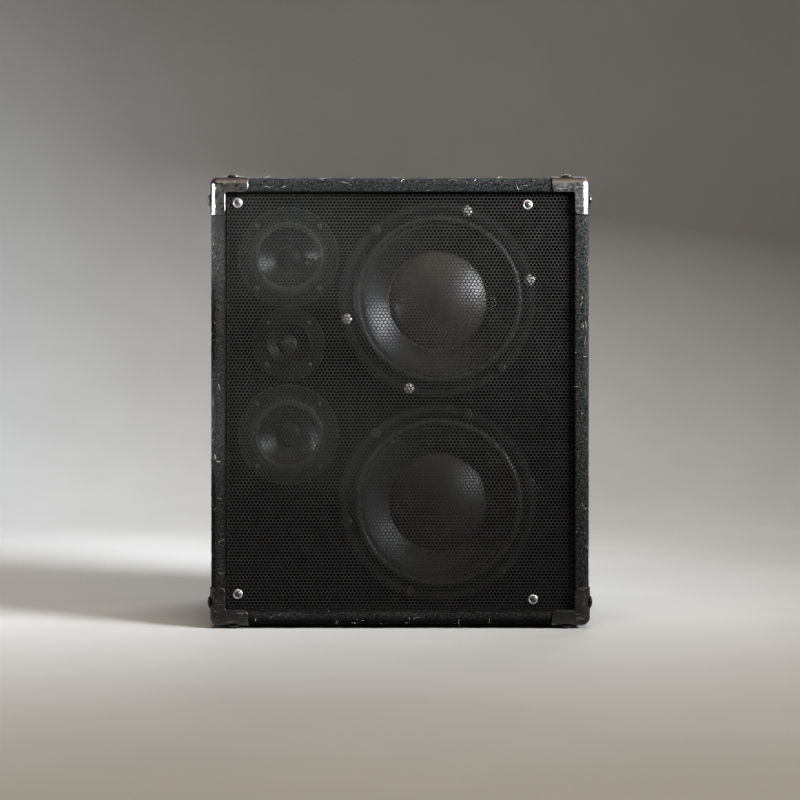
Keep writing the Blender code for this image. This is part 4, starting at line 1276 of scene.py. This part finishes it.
def make_woofer(level):
    prefix = f"woofer_{level}"
    moving = f"{prefix}_moving"
    centre = centre_of(f"{prefix}_basket")
    front = BAFFLE_FRONT
    flange = [(112.6, -0.4), (112.6, -5.4), (114.2, -6.3), (119, -6.3), (119.6, -5.7)]
    flange += [(128, -5.7), (129.9, -4.2), (130.1, -0.4)]
    turned(f"{prefix}_flange", in_mm(soften(flange, 0.7), front), centre, "basket")
    gasket = [(119.3, -5.5), (119.3, -6.7), (127.2, -6.7), (127.2, -5.5)]
    turned(f"{prefix}_gasket", in_mm(soften(gasket, 0.3), front), centre, "gasket")
    for angle in range(12, 372, 60):
        spots = circle_spots(centre, 122.8 * MM, front - 6.3 * MM, [math.radians(angle)])
        finish = "bright_bolt" if angle in BRIGHT_BOLTS[level] else "black_bolt"
        screws(f"{prefix}_bolt_{angle}", HEX, spots, TOWARDS_FRONT, finish)
    cone, down = [(102, -5.0), (99.5, -4.95)], -4.95
    for step in range(1, 22):
        r = 99.5 - 3.5 * step
        down += 3.5 * min(0.30 + 0.45 * (99.5 - r) / 35.5, 0.75)
        cone.append((r, down))
    cone += [(26, 84), (26.8, 84), (26.8, down + 1.6)]
    cone += [(r, y + 1.1) for r, y in reversed(cone[2:23]) if r > 28]
    cone += [(99.5, -3.9), (102, -3.9)]
    skin = (in_mm(cone, front), centre, PAPERS[level], moving, 144, (f"{prefix}_cone",), 50)
    turned(f"{prefix}_cone_skin", *skin)
    sphere, seat = 125.0, 13.5
    turns = [math.radians(30.9 * step / 14) for step in range(15)]
    apex = seat - sphere * (1 - math.cos(turns[-1]))
    cap = [(sphere * math.sin(t), sphere * (1 - math.cos(t)) + apex) for t in turns]
    cap += [(64.5, seat + 0.2), (64.9, seat - 0.3), (66.6, seat - 1.5)]
    cap += [(66.9, seat - 1.2), (66.8, seat - 0.5), (64.6, seat + 1.1)]
    within = sphere - 1
    cap += [(within * math.sin(t), sphere - within * math.cos(t) + apex) for t in reversed(turns[:-1])]
    # The lower cap's darker finish is painted shade.
    skin = (in_mm(cap, front), centre, f"cap_{level}", moving, 144, (f"{prefix}_dust_cap",), 50)
    turned(f"{prefix}_cap_skin", *skin)
    ring = in_mm(half_roll(100.4, 111.4, 5.9, 0.8, 3.4, 1.0), front - 5.3 * MM)
    wedge_ring(prefix, ring, centre, 24)


# ---------------------------------------------------------------- mids and tweeter


def make_mid(level):
    prefix = f"mid_{level}"
    centre = centre_of(f"{prefix}_frame")
    front = BAFFLE_FRONT
    flange = [(46.4, -0.4), (46.4, -3.3), (47.4, -4.1), (50.5, -4.1), (51.3, -3.5)]
    flange += [(62.6, -3.5), (65.2, -2.6), (65.8, -0.4)]
    turned(f"{prefix}_flange", in_mm(soften(flange, 0.6), front), centre, "mid_flange")
    spots = circle_spots(centre, 58 * MM, front - 3.4 * MM, DIAGONALS)
    screws(f"{prefix}_screws", CROSS_SMALL, spots, TOWARDS_FRONT, "black_bolt")
    turns = [TURN / 4 * i / 8 for i in range(1, 9)]
    cone = [(0, 4.6)]
    cone += [(15.4 * math.sin(t), 10.4 - 5.8 * math.cos(t)) for t in turns]
    cone += [(16.0, 10.9)]
    cone += [(16.0 + 24.4 * s, 10.7 - 13.2 * s**1.25) for s in (i / 10 for i in range(1, 11))]
    cone += [(42.0, -2.6), (42.0, -1.7), (40.2, -1.5)]
    cone += [(28, 6.6), (13.0, 13.4), (13.0, 26), (12.2, 26), (12.2, 12.4), (7, 7.6), (0, 6.6)]
    skin = (in_mm(cone, front), centre, "mid_cone", f"{prefix}_moving", 112, (f"{prefix}_cone",), 50)
    turned(f"{prefix}_cone_skin", *skin)
    ring = in_mm(half_roll(40.8, 46.0, 2.4, 0.5, 1.6, 0.6, 8), front - 2.9 * MM)
    wedge_ring(prefix, ring, centre, 16)


def make_tweeter():
    centre = centre_of("tweeter_faceplate")
    front = BAFFLE_FRONT
    plate = [(47.6, -0.4), (47.6, -3.0), (46.6, -4.3), (30.5, -4.3), (29.3, -5.0), (27.6, -5.0)]
    plate += [(25.4, -3.2), (20.0, 0.2), (14.6, 3.0), (14.6, 8), (37, 8), (37, -0.4)]
    outline = in_mm(soften(plate, 0.5), front)
    turned("tweeter_plate", outline, centre, "faceplate", replaces=("tweeter_faceplate",))
    spots = circle_spots(centre, 39 * MM, front - 4.2 * MM, DIAGONALS)
    screws("tweeter_screws", CROSS_SMALL, spots, TOWARDS_FRONT, "black_bolt")
    dome = []
    for step in range(12):
        t = math.radians(66) * step / 11
        dome.append((14.0 * math.sin(t), 9.4 - 9.0 * math.cos(t)))
    dome += [(13.4, 6.4), (13.4, 13), (12.8, 13), (12.6, 6.6)]
    for step in reversed(range(11)):
        t = math.radians(62) * step / 11
        dome.append((13.3 * math.sin(t), 9.9 - 8.8 * math.cos(t)))
    skin = (in_mm(dome, front), centre, "dome", "tweeter_moving", 72, ("tweeter_dome",), 50)
    turned("tweeter_dome_skin", *skin)


# ---------------------------------------------------------------- handles and rear


def dish_profile(cut, flange, corner, depth):
    """A pressed dish with a flange, as entries of half u, half v, radius and depth below the flange's face."""
    wall = [c - 0.6 * MM for c in cut]
    sheet, bend, floor_bend = 1.2 * MM, 3 * MM, 7 * MM
    points = []

    def entry(grow, down):
        """Grows the wall's rectangle by grow, at a depth."""
        points.append((wall[0] + grow, wall[1] + grow, max(corner + grow, 1 * MM), down))

    inner_floor = depth - sheet
    points.append((12 * MM, 8 * MM, 4 * MM, inner_floor))
    entry(-sheet - floor_bend, inner_floor)
    for step in range(1, 6):
        turn = TURN / 4 * step / 5
        entry(-sheet - floor_bend * (1 - math.sin(turn)), inner_floor - floor_bend * (1 - math.cos(turn)))
    entry(-sheet, bend)
    for step in range(1, 5):
        turn = TURN / 4 * step / 4
        entry(-sheet + bend * (1 - math.cos(turn)), bend * (1 - math.sin(turn)))
    half_u, half_v = flange
    for t, down in ((0.8, 0.0), (0.3, 0.12), (0.0, 0.45), (0.0, 1.2)):
        points.append((half_u - t * MM, half_v - t * MM, corner + 2 * MM - t * MM, down * MM))
    entry(3.5 * MM, sheet)
    entry(0.6 * MM, sheet + 1.0 * MM)
    entry(0.0, sheet + 2.5 * MM)
    entry(0.0, depth - floor_bend)
    for step in range(1, 6):
        turn = TURN / 4 * step / 5
        entry(-floor_bend * (1 - math.cos(turn)), depth - floor_bend * (1 - math.sin(turn)))
    points.append((12 * MM, 8 * MM, 4 * MM, depth))
    return points


def dish(name, cut, half_u, half_v, corner, depth, place):
    """A pressed dish's mesh, and the spots of the four screws in its flange."""
    path = even_path(half_u, half_v, 12 * MM, 8)
    mesh = sweep(name, path, dish_profile(cut, (half_u, half_v), corner, depth), place, closed=False)
    u, v = half_u - 8 * MM, half_v - 8 * MM
    return mesh, [tuple(place(su * u, sv * v, 0.0)) for su in (-1, 1) for sv in (-1, 1)]


def make_handle(name, side):
    lo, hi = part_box(f"handle_{name}_dish")
    face = hi.x if side > 0 else lo.x
    half_y, half_z = (hi.y - lo.y) / 2, (hi.z - lo.z) / 2

    def place(u, v, down):
        return np.stack([face - side * down, u, HANDLE_Z + v], axis=-1)

    shape = (HANDLE_CUT, half_y, half_z, 13.4 * MM, hi.x - lo.x, place)
    mesh, spots = dish(f"handle_{name}_shell", *shape)
    piece(mesh.name, outward(mesh), "black_steel", replaces=(f"handle_{name}_dish",), sharp=30)
    screws(f"handle_{name}_screws", CROSS_SMALL, spots, (side, 0, 0), "zinc")
    glo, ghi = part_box(f"handle_{name}_grip")
    radius = (ghi.z - glo.z) / 2
    length = ghi.y - glo.y
    outline = [(0.0, glo.y), (radius - 1.5 * MM, glo.y), (radius, glo.y + 1.5 * MM)]
    ribbed = length - 20 * MM
    ribs = round(ribbed / (6 * MM))
    for k in range(ribs):
        y = glo.y + 10 * MM + ribbed * (k + 0.5) / ribs
        groove = ((0, -1.2), (-0.5, -0.5), (-0.5, 0.5), (0, 1.2))
        outline += [(radius + out * MM, y + along * MM) for out, along in groove]
    outline += [(radius, ghi.y - 1.5 * MM), (radius - 1.5 * MM, ghi.y), (0.0, ghi.y)]
    centre = Vector(((glo.x + ghi.x) / 2, 0, (glo.z + ghi.z) / 2))
    grip = (f"handle_{name}_grip",)
    turned(f"handle_{name}_sleeve", outline, centre, "rubber", segments=48, replaces=grip)


TRAY_CUT = (66 * MM, 46 * MM)


def make_rear():
    """The carpet on the back panel, with its cut for the tray, and the panel's screws."""
    lo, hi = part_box("back_carpet")
    half_u, half_v = hi.x, (hi.z - lo.z) / 2
    cut_u, cut_v = TRAY_CUT
    path = even_path(half_u, half_v, 5 * MM, 4)
    shift = centre_of("input_tray").z - MIDDLE

    def on_rear(u, v, depth):
        """The rings slide up from the panel's middle to the tray's as they shrink."""
        share = (half_u - np.abs(u).max()) / (half_u - cut_u)
        return np.stack([u, depth, MIDDLE + v + shift * share], axis=-1)

    profile = []
    rings = 56
    for i in range(rings + 1):
        s = i / rings
        u, v = half_u + (cut_u - half_u) * s, half_v + (cut_v - half_v) * s
        profile.append((u, v, 1 * MM + 8 * MM * s, hi.y))
    shown = len(profile)
    profile += [(cut_u, cut_v, 9 * MM, lo.y), (half_u, half_v, 1 * MM, lo.y)]
    mesh = outward(sweep("carpet_rear", path, profile, on_rear))
    outer = np.repeat(np.arange(len(profile)) < shown, len(path))
    carpet_skin("carpet_rear", mesh, outer, "carpet", "back_carpet")
    spots = []
    for z in (-0.25, -0.085, 0.085, 0.25):
        spots += [(side * 0.215, hi.y, MIDDLE + z) for side in (-1, 1)]
    spots += [(0.0, hi.y, MIDDLE + z) for z in (-0.262, 0.262)]
    screws("rear_panel_screws", CROSS_LARGE, spots, TOWARDS_BACK, "black_bolt")


def rod(radius, lo, hi, at, segments=40):
    """A cylinder along Y from lo to hi, about the line through at."""
    mesh = lathe("rod", [(0, lo), (radius, lo), (radius, hi), (0, hi)], segments)
    return solid_of(placed(mesh, (at.x, 0, at.z), TOWARDS_BACK))


def spoke(lo, hi, angle, at):
    """A block placed with its third number along the line at an angle from upright, seen from the rear."""
    bm = block(lo, hi)
    turn = Matrix.Translation((at.x, 0, at.z)) @ Matrix.Rotation(angle, 4, "Y")
    bmesh.ops.transform(bm, matrix=turn, verts=bm.verts)
    return bm


def joined(name, solids):
    return outward(merged(name, [pour(solid, bpy.data.meshes.new("part")) for solid in solids]))


def make_tray():
    """The pressed tray in the rear, with the holes for what sits on its floor."""
    lo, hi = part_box("input_tray")
    face, depth = hi.y, hi.y - lo.y
    half_u, half_v = hi.x, (hi.z - lo.z) / 2
    middle = (hi.z + lo.z) / 2

    def place(u, v, down):
        return np.stack([u, face - down, middle + v], axis=-1)

    tray, spots = dish("input_tray_solid", TRAY_CUT, half_u, half_v, 9.4 * MM, depth, place)
    holes = []
    for node, radius in (("speaker_socket", 12.4), ("jack_socket", 5.1), ("horn_level_knob", 3.6)):
        holes.append(("DIFFERENCE", rod(radius * MM, lo.y - 5 * MM, lo.y + 5 * MM, centre_of(node))))
    mesh = tooled("input_tray_shell", solid_of(tray), holes)
    piece(mesh.name, mesh, "black_steel", replaces=("input_tray",), sharp=30)
    screws("input_tray_screws", CROSS_SMALL, spots, TOWARDS_BACK, "zinc")
    return lo.y + 1.5 * MM


def make_sockets(seat):
    """A twist-lock speaker socket and a quarter-inch jack socket, on the tray's floor at seat."""
    node = "speaker_socket"
    at, end = centre_of(node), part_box(node)[0].y
    outline = in_mm([(10.5, 2.0), (11.2, 2.7), (14.2, 2.7), (15, 1.9), (15, 0), (12, 0)], seat)
    outline += in_mm([(12, 0), (0, 0), (0, 2.5), (10.5, 2.5)], end)
    mesh = placed(lathe(node, outline, 96), (at.x, 0, at.z), TOWARDS_BACK)
    notches = []
    for angle, half in ((45, 2.2), (225, 2.2), (135, 1.2)):
        low, high = (-half * MM, seat - 14 * MM, 9 * MM), (half * MM, seat + 4 * MM, 11.5 * MM)
        notches.append(("DIFFERENCE", spoke(low, high, math.radians(angle), at)))
    mesh = tooled("speaker_socket_shell", solid_of(mesh), notches)
    piece(mesh.name, mesh, "plastic", replaces=(node,), sharp=30)
    strips = []
    for angle in (0, 90, 180, 270):
        low, high = (-1.5 * MM, end + 2.6 * MM, 9.5 * MM), (1.5 * MM, end + 16 * MM, 10.3 * MM)
        strips.append(spoke(low, high, math.radians(angle), at))
    piece("speaker_socket_contacts", joined("speaker_socket_contacts", strips), "copper")

    node = "jack_socket"
    at, end = centre_of(node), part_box(node)[0].y
    outline = in_mm([(3.3, 3.6), (3.7, 4), (4.5, 4), (4.5, -3), (9, -3)], seat)
    outline += in_mm([(9, 0), (0, 0), (0, 2), (3.3, 2)], end)
    turned("jack_socket_body", outline, at, "plastic", segments=56, replaces=(node,))
    nut = placed(hex_head(11.0 * MM, 3.0 * MM), (at.x, seat + 0.5 * MM, at.z), TOWARDS_BACK)
    bore = rod(4.6 * MM, seat - 5 * MM, seat + 9 * MM, at)
    mesh = tooled("jack_socket_nut", solid_of(nut), [("DIFFERENCE", bore)])
    piece(mesh.name, mesh, "zinc", sharp=30)


def make_knob(seat):
    """A fluted knob with a white pointer, over a scale from its lowest to its highest setting."""
    node = "horn_level_knob"
    at, top = centre_of(node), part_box(node)[1].y
    base = seat + 0.5 * MM
    flutes = []
    for i in range(144):
        turn = TURN * i / 144
        radius = (9.35 + 0.3 * math.cos(24 * turn)) * MM
        flutes.append((at.x + radius * math.cos(turn), at.z + radius * math.sin(turn)))
    shape = in_mm([(0, 0), (9.7, 0)], base)
    shape += in_mm([(9.7, -2.2), (9.3, -1.0), (8.4, -0.2), (7.6, 0), (0, 0)], top)
    envelope = placed(lathe("envelope", shape, 96), (at.x, 0, at.z), TOWARDS_BACK)
    skirt = rod(10 * MM, base, base + 1.6 * MM, at, 96)
    tools = [("INTERSECT", solid_of(envelope)), ("UNION", skirt)]
    mesh = tooled("level_knob_body", prism(flutes, base - MM, top + MM, 1), tools)
    piece(mesh.name, mesh, "plastic", "level_knob", (node,), 30)
    bars = [
        spoke((-0.55 * MM, top - 0.3 * MM, 1.5 * MM), (0.55 * MM, top + 0.12 * MM, 7.9 * MM), 0, at),
        spoke((-0.55 * MM, base + 2 * MM, 9.0 * MM), (0.55 * MM, top - 1.4 * MM, 9.78 * MM), 0, at),
    ]
    piece("level_knob_pointer", joined("level_knob_pointer", bars), "mark", "level_knob")
    ticks = []
    for step in range(-5, 6):
        far = (16.4 if step % 5 == 0 else 15.2) * MM
        low, high = (-0.4 * MM, seat - 0.4 * MM, 12.6 * MM), (0.4 * MM, seat - 0.18 * MM, far)
        ticks.append(spoke(low, high, math.radians(30 * step), at))
    piece("level_scale_ticks", joined("level_scale_ticks", ticks), "mark")


def make_stand():
    """Rubber feet with their screws."""
    for end in ("front", "rear"):
        for side in ("left", "right"):
            node = f"foot_{end}_{side}"
            lo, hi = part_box(node)
            at = (lo + hi) / 2
            radius = (hi.x - lo.x) / 2 / MM
            height = (hi.z - lo.z) / MM
            outline = [(6, 0.8), (8, 0), (radius - 3.2, 0), (radius - 0.6, 1.4), (radius, height)]
            outline += [(0, height), (0, 0.8 * height), (6, 0.8 * height)]
            mesh = lathe(f"{node}_pad", in_mm(soften(outline, 0.5)), 64)
            mesh.transform(Matrix.Translation((at.x, at.y, 0)))
            piece(f"{node}_pad", mesh, "rubber", replaces=(node,))
            screws(f"{node}_screw", CROSS_SMALL, [(at.x, at.y, 0.75 * height * MM)], (0, 0, -1), "zinc")


def finish_cad_nodes():
    """Gives every CAD node its full material, also those that a piece hides."""
    names = {s["node"]: s["material_slot"] for s in frame["record"]["subparts"]}
    for name, ob in frame["nodes"].items():
        ob.data.materials.clear()
        ob.data.materials.append(MATERIALS[names[name]])


make_camera()
make_lights()
make_stage()
finish_cad_nodes()
front_edge, sides = make_carpet()
make_fuzz(front_edge, 12000, 90, 11, on_front_edge)
make_fuzz(sides, 15000, 60, 12, on_sides)
make_grille()
make_grille_screws()
make_corners()
for level in LEVELS:
    make_woofer(level)
for level in LEVELS:
    make_mid(level)
make_tweeter()
for name, side in (("left", -1), ("right", 1)):
    make_handle(name, side)
make_rear()
floor = make_tray()
make_sockets(floor)
make_knob(floor)
make_stand()
